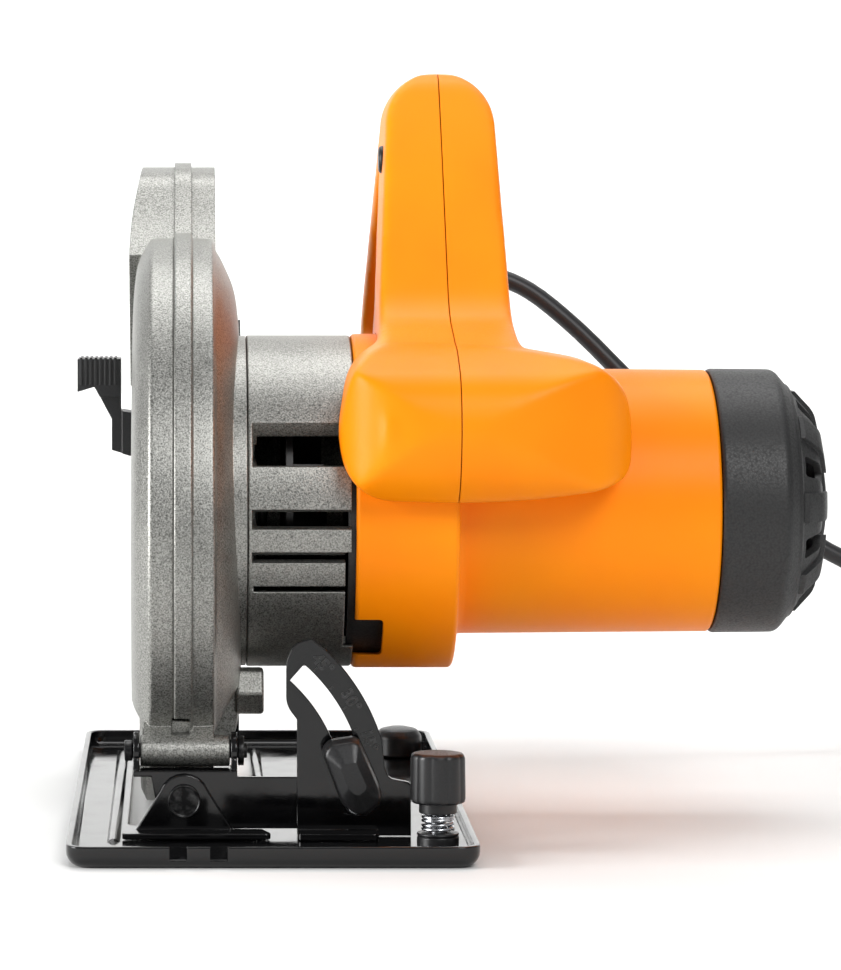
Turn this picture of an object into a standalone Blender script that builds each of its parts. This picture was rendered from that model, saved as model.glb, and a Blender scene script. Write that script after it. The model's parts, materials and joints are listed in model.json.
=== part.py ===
"""A corded circular saw, standing on its sole with the saw body swung up to zero depth of cut.

Lengths are in millimetres, and part() turns them into Blender's metres. +X runs from the blade to the motor,
+Y to the rear (the saw cuts towards -Y) and +Z up. The origin is the centre of the base plate's underside.
Outlines across X are (y, z), across Y (x, z) and across Z (x, y).
"""
import math

import bmesh
import bpy
from mathutils import Matrix, Vector

MM = 0.001
GAP = 0.3            # between pieces that touch
TURN = 2 * math.pi

# Blade and depth hinge
BLADE_DIAMETER = 185.0
BLADE_THICKNESS = 1.8
BLADE_TEETH = 24
LOWER_GUARD_RADIUS = BLADE_DIAMETER / 2 + 4.5
GUARD_RADIUS = BLADE_DIAMETER / 2 + 9.5
HINGE_REACH = GUARD_RADIUS + 6.0      # arbor to depth hinge
HINGE_HEIGHT = 29.0
FLOOR_CLEARANCE = 1.0                 # lower guard over the sole at rest
DEPTH_SWING = math.radians(40.0)

# Base plate
SHEET = 2.0
RIM_HEIGHT = 7.3
FRONT_REACH = 67.0                    # depth hinge to the front edge
REAR_REACH = 14.0                     # lower guard at full depth to the rear edge
LEFT_STRIP = 36.1                     # left edge to the blade
QUADRANT_REACH = 77.3                 # blade to the quadrant's right side
RIGHT_STRIP = 19.6                    # quadrant to the right edge
BASE_LENGTH = FRONT_REACH + HINGE_REACH + LOWER_GUARD_RADIUS + REAR_REACH
BASE_WIDTH = LEFT_STRIP + QUADRANT_REACH + RIGHT_STRIP
FRONT = -BASE_LENGTH / 2
REAR = BASE_LENGTH / 2
LEFT = -BASE_WIDTH / 2
RIGHT = BASE_WIDTH / 2
DECK = SHEET + GAP

# Bevel tilt
BLADE_X = LEFT + LEFT_STRIP
TILT_X = BLADE_X + 1.9
TILT_Z = 13.9
BEVEL_RADIUS = 56.8                   # tilt axis to the middle of the bevel slot
BEVEL_SLOT = 7.2
BEVEL_MARGIN = 12.0                   # slot middle to the quadrant's outer edge
BRACKET_SHEET = 2.0
BRACKET_Y = FRONT + 55.0              # front face of the fixed front bracket
BOLT_RADIUS = 3.0

# Where the three parallel axes of the saw body stand, as (y, z)
HINGE = (FRONT + FRONT_REACH, HINGE_HEIGHT)
ARBOR_Z = LOWER_GUARD_RADIUS + FLOOR_CLEARANCE
ARBOR = (HINGE[0] + math.sqrt(HINGE_REACH**2 - (ARBOR_Z - HINGE_HEIGHT)**2), ARBOR_Z)
ARBOR_ANGLE = math.atan2(ARBOR_Z - HINGE_HEIGHT, ARBOR[0] - HINGE[0])
GEAR_CENTRES = 30.0
GEAR_SLANT = math.radians(158.7)
MOTOR = (ARBOR[0] + GEAR_CENTRES * math.cos(GEAR_SLANT), ARBOR[1] + GEAR_CENTRES * math.sin(GEAR_SLANT))

# Upper guard, across X
GUARD_LEFT = BLADE_X - 16.1
GUARD_RIGHT = BLADE_X + 12.3
GUARD_WALL = 2.0
DISH_RIGHT = BLADE_X + 21.4
MOUNT_FACE = BLADE_X + 23.1
SPINDLE_LOCK = (MOTOR[0] + 65.951, MOTOR[1] + 9.103)
BARREL_RADIUS = 5.2
PIN_RADIUS = 2.5
ARC_RADIUS = HINGE_REACH + GUARD_RADIUS - 10.0
ARC_HALF_WIDTH = 9.0
ARC_START = math.radians(-3.0)        # depth bolt at full depth
ARC_END = math.degrees(11.519 / ARC_RADIUS)   # from there to the strip's lower end
GUARD_FRONT = 226.5                   # the mouth of the upper guard, in degrees round the arbor
GUARD_REAR = 408.0

# Gear train
GEAR_TEETH = 47
PINION_TEETH = 11
MODULE = 2 * GEAR_CENTRES / (GEAR_TEETH + PINION_TEETH)
SPINDLE_RADIUS = 7.4
HUB_RADIUS = 19.5

# Gear and motor housings, across X
GEAR_HOUSING_LENGTH = 36.0
FLANGE_LENGTH = 34.8
DRUM_LENGTH = 89.5
CAP_LENGTH = 39.7
FLANGE_RADIUS = 58.0
DRUM_RADIUS = 46.2
UNDERSIDE = 49.0                      # motor axis to the flat that clears the base at full depth
HOUSING_WALL = 3.0
GEAR_LEFT = MOUNT_FACE + GAP
FLANGE_LEFT = GEAR_LEFT + GEAR_HOUSING_LENGTH + GAP
DRUM_LEFT = FLANGE_LEFT + FLANGE_LENGTH
CAP_LEFT = DRUM_LEFT + DRUM_LENGTH + GAP
CAP_RIGHT = CAP_LEFT + CAP_LENGTH
SHAFT_RADIUS = 3.8
BEARING_OUT = 10.7

# Handle
SEAM_X = FLANGE_LEFT + 33.6
HANDLE_TOP_HALF = 19.2
HANDLE_FOOT_LEFT = 24.0
HANDLE_FOOT_RIGHT = 21.8
GRIP_DEPTH = 33.7
LOCK_RADIUS = 5.0

# Fence screw and mains lead
FENCE_X = RIGHT - 12.0
FENCE_Y = FRONT + 33.0
CORD_RADIUS = 3.5
COIL_CENTRE = (352.0, 125.0)
COIL_MIDDLE = 38.5
COIL_HALF_WIDTH = 10.5
COIL_HEIGHT = 21.0

ORANGE = (1.0, 0.35, 0.0)
CAST = (0.62, 0.61, 0.59)
STEEL = (0.6, 0.6, 0.62)
BLACK_PAINT = (0.02, 0.02, 0.022)
BLACK_PLASTIC = (0.03, 0.03, 0.032)
COPPER = (0.7, 0.35, 0.2)
PLATED = (0.75, 0.75, 0.76)

PLACES = {"X": lambda u, v, w: (w, u, v), "Y": lambda u, v, w: (u, w, v), "Z": lambda u, v, w: (u, v, w)}


def clear_scene():
    for obj in list(bpy.data.objects):
        bpy.data.objects.remove(obj)


def polar(centre, radius, angle):
    return (centre[0] + radius * math.cos(angle), centre[1] + radius * math.sin(angle))


def arc(centre, radius, start, end, steps):
    """Points of an arc, angles in degrees, both ends included."""
    return [
        polar(centre, radius, math.radians(start + (end - start) * i / steps)) for i in range(steps + 1)]


def filleted(corners, steps=3):
    """An outline of (u, v, radius) corners with each corner rounded to its radius."""
    points = []
    for i, (u, v, radius) in enumerate(corners):
        here = Vector((u, v))
        back = (Vector(corners[i - 1][:2]) - here)
        ahead = (Vector(corners[(i + 1) % len(corners)][:2]) - here)
        if radius <= 0:
            points.append((u, v))
            continue
        half = back.angle(ahead) / 2
        radius = min(radius, 0.48 * min(back.length, ahead.length) * math.tan(half))
        reach = radius / math.tan(half)
        middle = here + (back.normalized() + ahead.normalized()).normalized() * (radius / math.sin(half))
        first = here + back.normalized() * reach - middle
        swing = first.angle_signed(here + ahead.normalized() * reach - middle)
        for step in range(steps + 1):
            turned_by = Matrix.Rotation(-swing * step / steps, 2)
            points.append(tuple(middle + turned_by @ first))
    return points


def prism(outline, axis, low, high):
    """An outline extruded along an axis from low to high."""
    bm = bmesh.new()
    place = PLACES[axis]
    floor = bm.faces.new([bm.verts.new(place(u, v, low)) for u, v in outline])
    lifted = bmesh.ops.extrude_face_region(bm, geom=[floor])["geom"]
    tops = [item for item in lifted if isinstance(item, bmesh.types.BMVert)]
    bmesh.ops.translate(bm, verts=tops, vec=place(0, 0, high - low))
    bmesh.ops.recalc_face_normals(bm, faces=bm.faces)
    return bm


def box(low, high):
    return prism([(low[0], low[1]), (high[0], low[1]), (high[0], high[1]), (low[0], high[1])],
                 "Z", low[2], high[2])


def turned(profile, axis, centre, steps=32):
    """A profile of (along, radius) points swept round an axis: capped where it reaches it, or else a ring."""
    bm = bmesh.new()
    place = PLACES[axis]
    loops = [[bm.verts.new(place(*polar(centre, radius, TURN * i / steps), along)) for i in range(steps)]
             for along, radius in profile if radius > 0]
    pairs = list(zip(loops, loops[1:]))
    if profile[0][1] > 0:
        pairs.append((loops[-1], loops[0]))
    else:
        bm.faces.new(loops[0])
        bm.faces.new(loops[-1])
    for near, far in pairs:
        for i in range(steps):
            bm.faces.new((near[i - 1], near[i], far[i], far[i - 1]))
    bmesh.ops.recalc_face_normals(bm, faces=bm.faces)
    return bm


def rod(axis, centre, radius, low, high, steps=24):
    return turned([(low, 0), (low, radius), (high, radius), (high, 0)], axis, centre, steps)


def ring(axis, centre, bore, radius, low, high, steps=24):
    return turned([(low, bore), (low, radius), (high, radius), (high, bore)], axis, centre, steps)


def loft(rings):
    """Closed solid through rings of equally many points."""
    bm = bmesh.new()
    loops = [[bm.verts.new(point) for point in points] for points in rings]
    bm.faces.new(loops[0])
    bm.faces.new(loops[-1])
    count = len(loops[0])
    for lower, upper in zip(loops, loops[1:]):
        for i in range(count):
            bm.faces.new((lower[i - 1], lower[i], upper[i], upper[i - 1]))
    bmesh.ops.recalc_face_normals(bm, faces=bm.faces)
    return bm


def gear_outline(centre, teeth, pitch_radius, phase):
    """Straight-flanked teeth with generous backlash, so that the pair turns freely at every angle."""
    points = []
    for tooth in range(teeth):
        middle = phase + TURN * tooth / teeth
        for radius, half in ((pitch_radius - 1.2 * MODULE, 0.30), (pitch_radius, 0.19),
            (pitch_radius + 0.8 * MODULE, 0.08)):
            points.append(polar(centre, radius, middle - half * TURN / teeth))
        for radius, half in ((pitch_radius + 0.8 * MODULE, 0.08), (pitch_radius, 0.19),
            (pitch_radius - 1.2 * MODULE, 0.30)):
            points.append(polar(centre, radius, middle + half * TURN / teeth))
    return points


def material(name, colour, roughness, metallic):
    found = bpy.data.materials.get(name) or bpy.data.materials.new(name)
    found.use_nodes = True
    shader = found.node_tree.nodes["Principled BSDF"]
    shader.inputs["Base Color"].default_value = (*colour, 1.0)
    shader.inputs["Roughness"].default_value = roughness
    shader.inputs["Metallic"].default_value = metallic
    found.diffuse_color = (*colour, 1.0)
    return found


def new_object(name, bm):
    bmesh.ops.scale(bm, vec=(MM, MM, MM), verts=bm.verts)
    mesh = bpy.data.meshes.new(name)
    bm.to_mesh(mesh)
    bm.free()
    obj = bpy.data.objects.new(name, mesh)
    bpy.context.scene.collection.objects.link(obj)
    return obj


def part(name, bm, colour, roughness=0.5, metallic=0.0, on=None):
    obj = new_object(name, bm)
    obj.data.materials.append(material(name + "_finish", colour, roughness, metallic))
    obj.data.shade_smooth()
    obj.data.set_sharp_from_angle(angle=math.radians(35))
    if on:
        obj.parent = on
        obj.matrix_parent_inverse = Matrix.Translation(-on.location)
    return obj


def helper(name, bm):
    tool = new_object(name, bm)
    tool.hide_render = True
    tool.display_type = "WIRE"
    return tool


def apply_tool(target, operation, tool):
    modifier = target.modifiers.new(operation.title(), "BOOLEAN")
    modifier.operation = operation
    modifier.object = tool


def combine(target, operation, *shapes):
    for bm in shapes:
        apply_tool(target, operation, helper(target.name + "_tool", bm))
    return target


def cut(target, *shapes):
    return combine(target, "DIFFERENCE", *shapes)


def join(target, *shapes):
    return combine(target, "UNION", *shapes)


def keep(target, *shapes):
    return combine(target, "INTERSECT", *shapes)


def axis_empty(name, x, y, z, parent=None):
    empty = bpy.data.objects.new(name, None)
    empty.location = (x * MM, y * MM, z * MM)
    bpy.context.scene.collection.objects.link(empty)
    if parent:
        empty.parent = parent
        empty.matrix_parent_inverse = Matrix.Translation(-parent.location)
    return empty


def base_plate():
    """Stamped steel tray with its edges turned up, slotted for the blade at every bevel."""
    corner = 8.0
    bend = 5.0
    inner = bend - SHEET

    def course(z, inset):
        radius = corner - inset
        return [(x, y, z) for x, y in filleted([
            (LEFT + inset, FRONT + inset, radius), (RIGHT - inset, FRONT + inset, radius),
            (RIGHT - inset, REAR - inset, radius), (LEFT + inset, REAR - inset, radius)], 4)]

    lean = [math.radians(angle) for angle in (0, 30, 60, 90)]
    outside = [course(bend - bend * math.cos(a), bend - bend * math.sin(a)) for a in lean]
    inside = [course(bend - inner * math.cos(a),
        SHEET + inner - inner * math.sin(a)) for a in reversed(lean)]
    plate = part("base_plate", loft(outside + [course(RIM_HEIGHT, 0), course(RIM_HEIGHT, SHEET)] + inside),
                 BLACK_PAINT, 0.25)
    rib_rear = REAR - 20.0
    for x, front in ((BLADE_X - 21.5, FRONT + 42.0), (BLADE_X + 28.7, FRONT + 85.0)):
        join(plate, prism([(x - 1.8, SHEET - 0.5), (x + 1.8, SHEET - 0.5), (x + 0.8, SHEET + 1),
            (x - 0.8, SHEET + 1)],
                          "Y", front, rib_rear))
    slot_front = HINGE[0] + HINGE_REACH - LOWER_GUARD_RADIUS + 1.0
    slot_rear = HINGE[0] + HINGE_REACH + LOWER_GUARD_RADIUS + 2.0
    cut(plate, prism(filleted([(BLADE_X - 17.1, slot_front, 4), (BLADE_X + 26.9, slot_front, 4),
                               (BLADE_X + 26.9, slot_rear, 4), (BLADE_X - 17.1, slot_rear, 4)]), "Z",
                               -1, SHEET + 3))
    for x in (BLADE_X, BLADE_X + 13.0):
        cut(plate, box((x - 2.8, FRONT - 1, SHEET + 0.6), (x + 2.8, FRONT + SHEET + 1, RIM_HEIGHT + 1)))


def front_pivot_bracket():
    """Folded steel foot on the deck with the lobe that carries the bevel rivet."""
    back = BRACKET_Y + BRACKET_SHEET
    lobe = arc((TILT_X, TILT_Z), 8.6, 160, 20, 8)
    plate = part("front_pivot_bracket",
                 prism([(TILT_X - 16, DECK)] + [(TILT_X - 16, DECK + 2)] + lobe +
                       [(TILT_X + 16, DECK + 2), (TILT_X + 16, DECK)], "Y", BRACKET_Y, back),
                           BLACK_PAINT, 0.35)
    join(plate, prism(filleted([(TILT_X - 21.6, BRACKET_Y - 9, 2), (TILT_X + 29.4, BRACKET_Y - 9, 2),
                                (TILT_X + 26, back, 0), (TILT_X - 17, back, 0)]), "Z", DECK, DECK + SHEET))
    cut(plate, rod("Y", (TILT_X, TILT_Z), BOLT_RADIUS + GAP, BRACKET_Y - 1, back + 1))


def bevel_quadrant():
    """Fixed steel quadrant with the curved slot for the bevel lock bolt."""
    tilt = (TILT_X, TILT_Z)
    outer = BEVEL_RADIUS + BEVEL_MARGIN
    side = BLADE_X + QUADRANT_REACH
    left = TILT_X + 37.5
    outline = [(left, DECK), (side, DECK), (side, 20.2), (side - 7, 21.5), (TILT_X + outer * 0.96, 26)]
    outline += arc(tilt, outer, 16.5, 48, 8)
    outline += [(TILT_X + 41.8, TILT_Z + 53.4), (TILT_X + 36.8, TILT_Z + 51.8),
        (TILT_X + 33.9, TILT_Z + 46.5)]
    outline += [(TILT_X + 33.9, TILT_Z + 31.8), (left, TILT_Z + 27.2)]
    back = BRACKET_Y + BRACKET_SHEET
    plate = part("bevel_quadrant", prism(outline, "Y", BRACKET_Y, back), BLACK_PAINT, 0.35)
    join(plate, prism(filleted([(left, back, 0), (left, BRACKET_Y - 10, 2), (left + 27, BRACKET_Y - 10, 2),
                                (left + 27, back, 0)]), "Z", DECK, DECK + SHEET))
    half = BEVEL_SLOT / 2
    slot = arc(tilt, BEVEL_RADIUS + half, -4.5, 48.7, 12) + arc(tilt, BEVEL_RADIUS - half, 48.7, -4.5, 12)
    cut(plate, prism(slot, "Y", BRACKET_Y - 1, back + 1))


def front_tilt_bracket(tilt):
    """Folded steel: a plate on the bevel rivet, a shelf under the barrel and two ears for the hinge pin."""
    front = BRACKET_Y + BRACKET_SHEET + GAP
    back = front + BRACKET_SHEET
    top = HINGE_HEIGHT - BARREL_RADIUS - GAP
    outline = [(TILT_X + 65.5, TILT_Z - 7), (TILT_X + 65.5, TILT_Z + 7.6), (TILT_X + 14.5, TILT_Z + 7.6),
               (TILT_X + 11, TILT_Z + 8.3), (TILT_X + 10.1, top), (TILT_X - 11.4, top)]
    outline += arc((TILT_X, TILT_Z), 9.6, 180, 270, 6) + [(TILT_X + 63, TILT_Z - 9.6)]
    plate = part("front_tilt_bracket", prism(outline, "Y", front, back), BLACK_PAINT, 0.35, on=tilt)
    left = BLADE_X - 15.1
    right = BLADE_X + 19.6
    reach = HINGE[0] + 4.2
    join(plate, box((left, front, top - BRACKET_SHEET), (right, reach, top)))
    ear = [(front + 0.5, top - BRACKET_SHEET), (reach, top - BRACKET_SHEET)] + arc(HINGE, 6.3, -20, 200, 12)
    for x in (left, right - BRACKET_SHEET):
        join(plate, prism(ear, "X", x, x + BRACKET_SHEET))
    cut(plate, rod("X", HINGE, PIN_RADIUS + GAP, left - 1, right + 1))
    cut(plate, rod("Y", (TILT_X, TILT_Z), BOLT_RADIUS + GAP, front - 1, back + 1))
    cut(plate, rod("Y", (TILT_X + BEVEL_RADIUS, TILT_Z), BOLT_RADIUS + GAP, front - 1, back + 1))
    part("depth_hinge_pin", turned([(left - 3, 0), (left - 3, 3.5), (left - GAP, 3.5),
        (left - GAP, PIN_RADIUS),
                                    (right + 3.4, PIN_RADIUS), (right + 3.4, 0)], "X", HINGE, 20),
                                    PLATED, 0.3, 1, tilt)
    part("depth_hinge_nut", ring("X", HINGE, PIN_RADIUS + GAP, 5, right + GAP, right + 2.3, 20), STEEL,
        0.4, 1, tilt)


def bevel_rivets(tilt):
    rear_back = rear_bracket_y() + BRACKET_SHEET
    front_back = BRACKET_Y + 2 * BRACKET_SHEET + GAP
    for name, low, high in (("bevel_rivet_front", BRACKET_Y, front_back),
                            ("bevel_rivet_rear", rear_bracket_y() - BRACKET_SHEET - GAP, rear_back)):
        part(name, turned([(low - 2.3, 0), (low - 2.1, 4.4), (low - 1.4, 5.3), (low - GAP, 5.3),
            (low - GAP, BOLT_RADIUS),
                           (high + GAP, BOLT_RADIUS), (high + GAP, 4.5), (high + 1.8, 4.0),
                           (high + 1.8, 0)],
                          "Y", (TILT_X, TILT_Z), 24), BLACK_PAINT, 0.3, 0.5, tilt)


def rear_bracket_y():
    """Front face of the fixed rear bracket."""
    return HINGE[0] + HINGE_REACH + LOWER_GUARD_RADIUS + 5.5


def rear_pivot_bracket():
    front = rear_bracket_y()
    back = front + BRACKET_SHEET
    lobe = arc((TILT_X, TILT_Z), 8.8, 160, 20, 8)
    plate = part("rear_pivot_bracket",
                 prism([(TILT_X - 16, DECK), (TILT_X - 16, DECK + 2)] + lobe +
                       [(TILT_X + 16, DECK + 2), (TILT_X + 16, DECK)], "Y", front, back), BLACK_PAINT, 0.35)
    join(plate, box((TILT_X - 21, front - 3, DECK), (TILT_X + 23, back, DECK + 1.6)))
    cut(plate, rod("Y", (TILT_X, TILT_Z), BOLT_RADIUS + GAP, front - 1, back + 1))


def depth_arc(tilt):
    """One folded stamping: the tab on the rear bevel rivet and the slotted arc about the depth hinge."""
    tab_front = rear_bracket_y() - GAP - BRACKET_SHEET
    right = MOUNT_FACE - GAP
    left = right - BRACKET_SHEET
    outline = arc((TILT_X, TILT_Z), 9.6, 90, 270, 10)
    outline += [(TILT_X + 16.5, 7), (right, 10), (right, 31), (left - 2, 31), (TILT_X + 8.5, TILT_Z + 9.6)]
    plate = part("depth_arc", prism(outline, "Y", tab_front, tab_front + BRACKET_SHEET), BLACK_PAINT,
        0.35, on=tilt)
    low = math.degrees(ARC_START)
    rest = low + math.degrees(DEPTH_SWING)
    inner = ARC_RADIUS - ARC_HALF_WIDTH
    outer = ARC_RADIUS + ARC_HALF_WIDTH
    sector = arc(HINGE, outer, low - ARC_END, rest + 5, 16) + arc(HINGE, inner, rest + 5, low - ARC_END, 16)
    join(plate, prism(sector, "X", left, right))
    half = BOLT_RADIUS + GAP
    slot = arc(HINGE, ARC_RADIUS + half, low - 1.3, rest + 1.3, 16) + arc(HINGE, ARC_RADIUS - half,
        rest + 1.3, low - 1.3, 16)
    cut(plate, prism(slot, "X", left - 1, right + 1))
    cut(plate, rod("Y", (TILT_X, TILT_Z), BOLT_RADIUS + GAP, tab_front - 1, tab_front + 3))


def bevel_lock(tilt, lever_axis):
    """Carriage bolt through the tilt bracket and the quadrant, and the wing lever that clamps it."""
    centre = (TILT_X + BEVEL_RADIUS, TILT_Z)
    head = BRACKET_Y + 2 * BRACKET_SHEET + 2 * GAP
    tip = BRACKET_Y - 11.0
    part("bevel_lock_bolt", turned([(tip, 0), (tip, BOLT_RADIUS), (head, BOLT_RADIUS), (head, 5.5),
        (head + 2, 4.6),
                                    (head + 2, 0)], "Y", centre, 20), PLATED, 0.35, 1, tilt)
    x, z = centre
    wing = [(x - 11.6, z + 17.9, 3), (x - 9, z + 21.1, 2), (x - 1.1, z + 22.4, 2), (x + 1, z + 21.6, 2),
            (x + 8.6, z + 4.2, 3), (x + 8.3, z + 0.5, 2), (x + 3.1, z - 3.7, 2), (x - 0.1, z - 3.5, 2),
            (x - 4.8, z + 0.1, 3)]
    lever = part("bevel_lock_lever", prism(filleted(wing, 2), "Y", BRACKET_Y - 16, BRACKET_Y - 4.5),
        BLACK_PLASTIC,
                 0.45, on=lever_axis)
    join(lever, rod("Y", (x + 0.6, z + 0.4), 4.4, BRACKET_Y - 5, BRACKET_Y - GAP, 20))
    cut(lever, rod("Y", centre, BOLT_RADIUS + GAP, tip - GAP, BRACKET_Y + 1, 20))


def fence_clamp(turning):
    """Thumb screw that clamps a rip fence: boss on the deck, spring and knob on a steel stem."""
    centre = (FENCE_X, FENCE_Y)
    boss_top = DECK + 4.6
    part("fence_boss", turned([(DECK, 2.9), (DECK, 6.9), (boss_top - 1.2, 6.9), (boss_top - 1.2, 6.2),
        (boss_top - 0.8, 6.9),
                               (boss_top, 6.9), (boss_top, 2.9)], "Z", centre, 24), BLACK_PLASTIC, 0.5)
    knob_low = boss_top + 6.4
    knob_top = knob_low + 19.6
    part("fence_screw", turned([(DECK + 0.5, 0), (DECK + 0.5, 2.6), (knob_low + 6, 2.6),
        (knob_low + 6, 0)], "Z", centre, 16),
         PLATED, 0.3, 1, turning)
    lobes = [polar(centre, 9.3 if i % 4 in (1, 2) else 8.6, TURN * (i + 0.5) / 24) for i in range(24)]
    knob = part("fence_knob", prism(lobes, "Z", knob_low + 3.3, knob_top), BLACK_PLASTIC, 0.45, on=turning)
    join(knob, rod("Z", centre, 6.2, knob_low, knob_low + 4, 24))
    cut(knob, rod("Z", centre, 2.9, knob_low - 1, knob_low + 6.3, 20))
    turns = 3
    steps = 10
    helix = []
    for i in range(turns * steps + 1):
        x, y = polar(centre, 4.8, TURN * i / steps)
        helix.append((x, y, boss_top + 1 + (knob_low - boss_top - 2) * i / (turns * steps)))
    tube("fence_spring", helix, 0.6, PLATED, 0.25, 1)
    part("rear_boss", turned([(DECK, 0), (DECK, 8.8), (DECK + 7.5, 8.8), (DECK + 10, 7),
        (DECK + 10.9, 3), (DECK + 10.9, 0)],
                             "Z", (FENCE_X - 1.5, REAR - 35), 24), BLACK_PLASTIC, 0.35)


def tube(name, points, radius, colour, roughness, metallic=0.0, resolution=2, on=None):
    curve = bpy.data.curves.new(name, "CURVE")
    curve.dimensions = "3D"
    curve.bevel_depth = radius * MM
    curve.bevel_resolution = resolution
    curve.use_fill_caps = True
    spline = curve.splines.new("POLY")
    spline.points.add(len(points) - 1)
    for point, place in zip(spline.points, points):
        point.co = (place[0] * MM, place[1] * MM, place[2] * MM, 1)
    obj = bpy.data.objects.new(name, curve)
    curve.materials.append(material(name + "_finish", colour, roughness, metallic))
    bpy.context.scene.collection.objects.link(obj)
    if on:
        obj.parent = on
        obj.matrix_parent_inverse = Matrix.Translation(-on.location)
    return obj


def upper_guard(saw):
    """Die-cast guard: rim, outer wall with an arbor opening, dished inner flank with the gear pocket,
    dust chute, hinge barrel, depth-stop boss and the hub that carries spindle and lower guard."""
    top = GUARD_RADIUS
    shell = part("upper_guard", turned([
        (GUARD_LEFT, 0), (GUARD_LEFT, top - 6), (GUARD_LEFT + 2, top - 1.5), (GUARD_LEFT + 6, top),
        (BLADE_X - 2.5, top), (BLADE_X - 2, top + 2), (BLADE_X + 4, top + 2), (BLADE_X + 4.5, top),
        (GUARD_RIGHT - 2, top - 1.5), (GUARD_RIGHT, top - 4), (DISH_RIGHT - 5.4, top - 6),
            (DISH_RIGHT - 1.1, top - 15.5),
        (DISH_RIGHT, top - 32), (DISH_RIGHT, 0)], "X", ARBOR, 64), CAST, 0.45, 0.9, saw)
    y, z = ARBOR
    chute = filleted([(y + 3, z + 96, 0), (y + 16, z + 107, 4), (y + 34, z + 125.5, 6),
                      (y + 50, z + 129.2, 4), (y + 62, z + 129, 3), (y + 95, z + 93, 0),
                      (y + 76, z + 76, 0), (y + 45, z + 45, 0)])
    join(shell, prism(chute, "X", GUARD_LEFT - 1, GUARD_RIGHT + 0.6))
    mount = rod("X", MOTOR, FLANGE_RADIUS - 0.5, GUARD_RIGHT - 1, MOUNT_FACE, 48)
    join(shell, mount)
    along = (math.cos(ARBOR_ANGLE), math.sin(ARBOR_ANGLE))
    lug = [(HINGE[0] + s * along[0] - t * along[1], HINGE[1] + s * along[1] + t * along[0])
           for s, t in ((0, -BARREL_RADIUS), (11, -BARREL_RADIUS), (11, BARREL_RADIUS), (0, BARREL_RADIUS))]
    join(shell, prism(lug, "X", BLADE_X - 12.5, GUARD_RIGHT - 0.5))
    join(shell, rod("X", HINGE, BARREL_RADIUS, BLADE_X - 12.8, BLADE_X + 17.2, 24))
    bolt = polar(HINGE, ARC_RADIUS, ARC_START + DEPTH_SWING)
    join(shell, rod("X", bolt, 6.5, GUARD_RIGHT - 1, MOUNT_FACE - 2 * GAP - BRACKET_SHEET, 20))
    join(shell, rod("X", (y - 53, z - 52.5), 8.8, DISH_RIGHT - 2, DISH_RIGHT + 7.7, 6))
    inside = top - 3
    cavity = turned([(GUARD_LEFT + GUARD_WALL, 0), (GUARD_LEFT + GUARD_WALL, inside - 4),
                     (GUARD_LEFT + GUARD_WALL + 4, inside), (GUARD_RIGHT - 5, inside),
                     (GUARD_RIGHT - GUARD_WALL, inside - 3),
                     (GUARD_RIGHT - GUARD_WALL, HUB_RADIUS), (BLADE_X + 4.4, HUB_RADIUS),
                         (BLADE_X + 4.4, 0)],
                    "X", ARBOR, 48)
    cut(shell, cavity)
    cut(shell, prism([(y + 12, z + 88), (y + 32, z + 116), (y + 55, z + 125.4), (y + 66, z + 139),
                      (y + 112, z + 88),
                      (y + 70, z + 62)], "X", GUARD_LEFT + GUARD_WALL, GUARD_RIGHT - GUARD_WALL))
    opening = rod("X", ARBOR, GUARD_RADIUS - 47, GUARD_LEFT - 3, GUARD_LEFT + GUARD_WALL + 1, 40)
    cut(shell, opening)
    far = 3 * top
    mouth_angles = (GUARD_FRONT, 270.0, 330.0, GUARD_REAR)
    low_left = prism([ARBOR] + [polar(ARBOR, far, math.radians(angle)) for angle in mouth_angles],
                     "X", GUARD_LEFT - 3, GUARD_RIGHT - GUARD_WALL - 0.05)
    hub_space = rod("X", ARBOR, HUB_RADIUS + 0.5, BLADE_X + 4.2, GUARD_RIGHT, 32)
    mouth = helper("guard_mouth", low_left)
    cut(mouth, hub_space)
    apply_tool(shell, "DIFFERENCE", mouth)
    # The flank keeps a low skirt round the gears, cut level with the sole at full depth.
    level = (math.cos(DEPTH_SWING), math.sin(DEPTH_SWING))
    below = [(y + s * level[0] + t * level[1], z + s * level[1] - t * level[0])
             for s, t in ((-far, 19), (-42, 19), (-34, 27.6), (far, 27.6), (far, far), (-far, far))]
    cut(shell, prism(below, "X", GUARD_RIGHT - GUARD_WALL - 1, MOUNT_FACE + 9))
    cut(shell, rod("X", ARBOR, SPINDLE_RADIUS + 1.1, BLADE_X, MOUNT_FACE + 1))
    cut(shell, rod("X", ARBOR, 16.1, BLADE_X, GUARD_RIGHT, 32))
    pocket = GEAR_TEETH * MODULE / 2 + 0.8 * MODULE + 1.0
    cut(shell, rod("X", ARBOR, pocket, GUARD_RIGHT + 1.6, MOUNT_FACE + 1, 40))
    cut(shell, rod("X", MOTOR, PINION_TEETH * MODULE / 2 + 2.5, GUARD_RIGHT + 1.6, MOUNT_FACE + 1, 24))
    cut(shell, rod("X", HINGE, PIN_RADIUS + GAP, GUARD_LEFT, MOUNT_FACE, 20))
    cut(shell, rod("X", bolt, BOLT_RADIUS + GAP, GUARD_RIGHT + 1, MOUNT_FACE, 20))
    cut(shell, rod("X", SPINDLE_LOCK, 5.8, DISH_RIGHT - 6.5, MOUNT_FACE + 1, 20))


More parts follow.
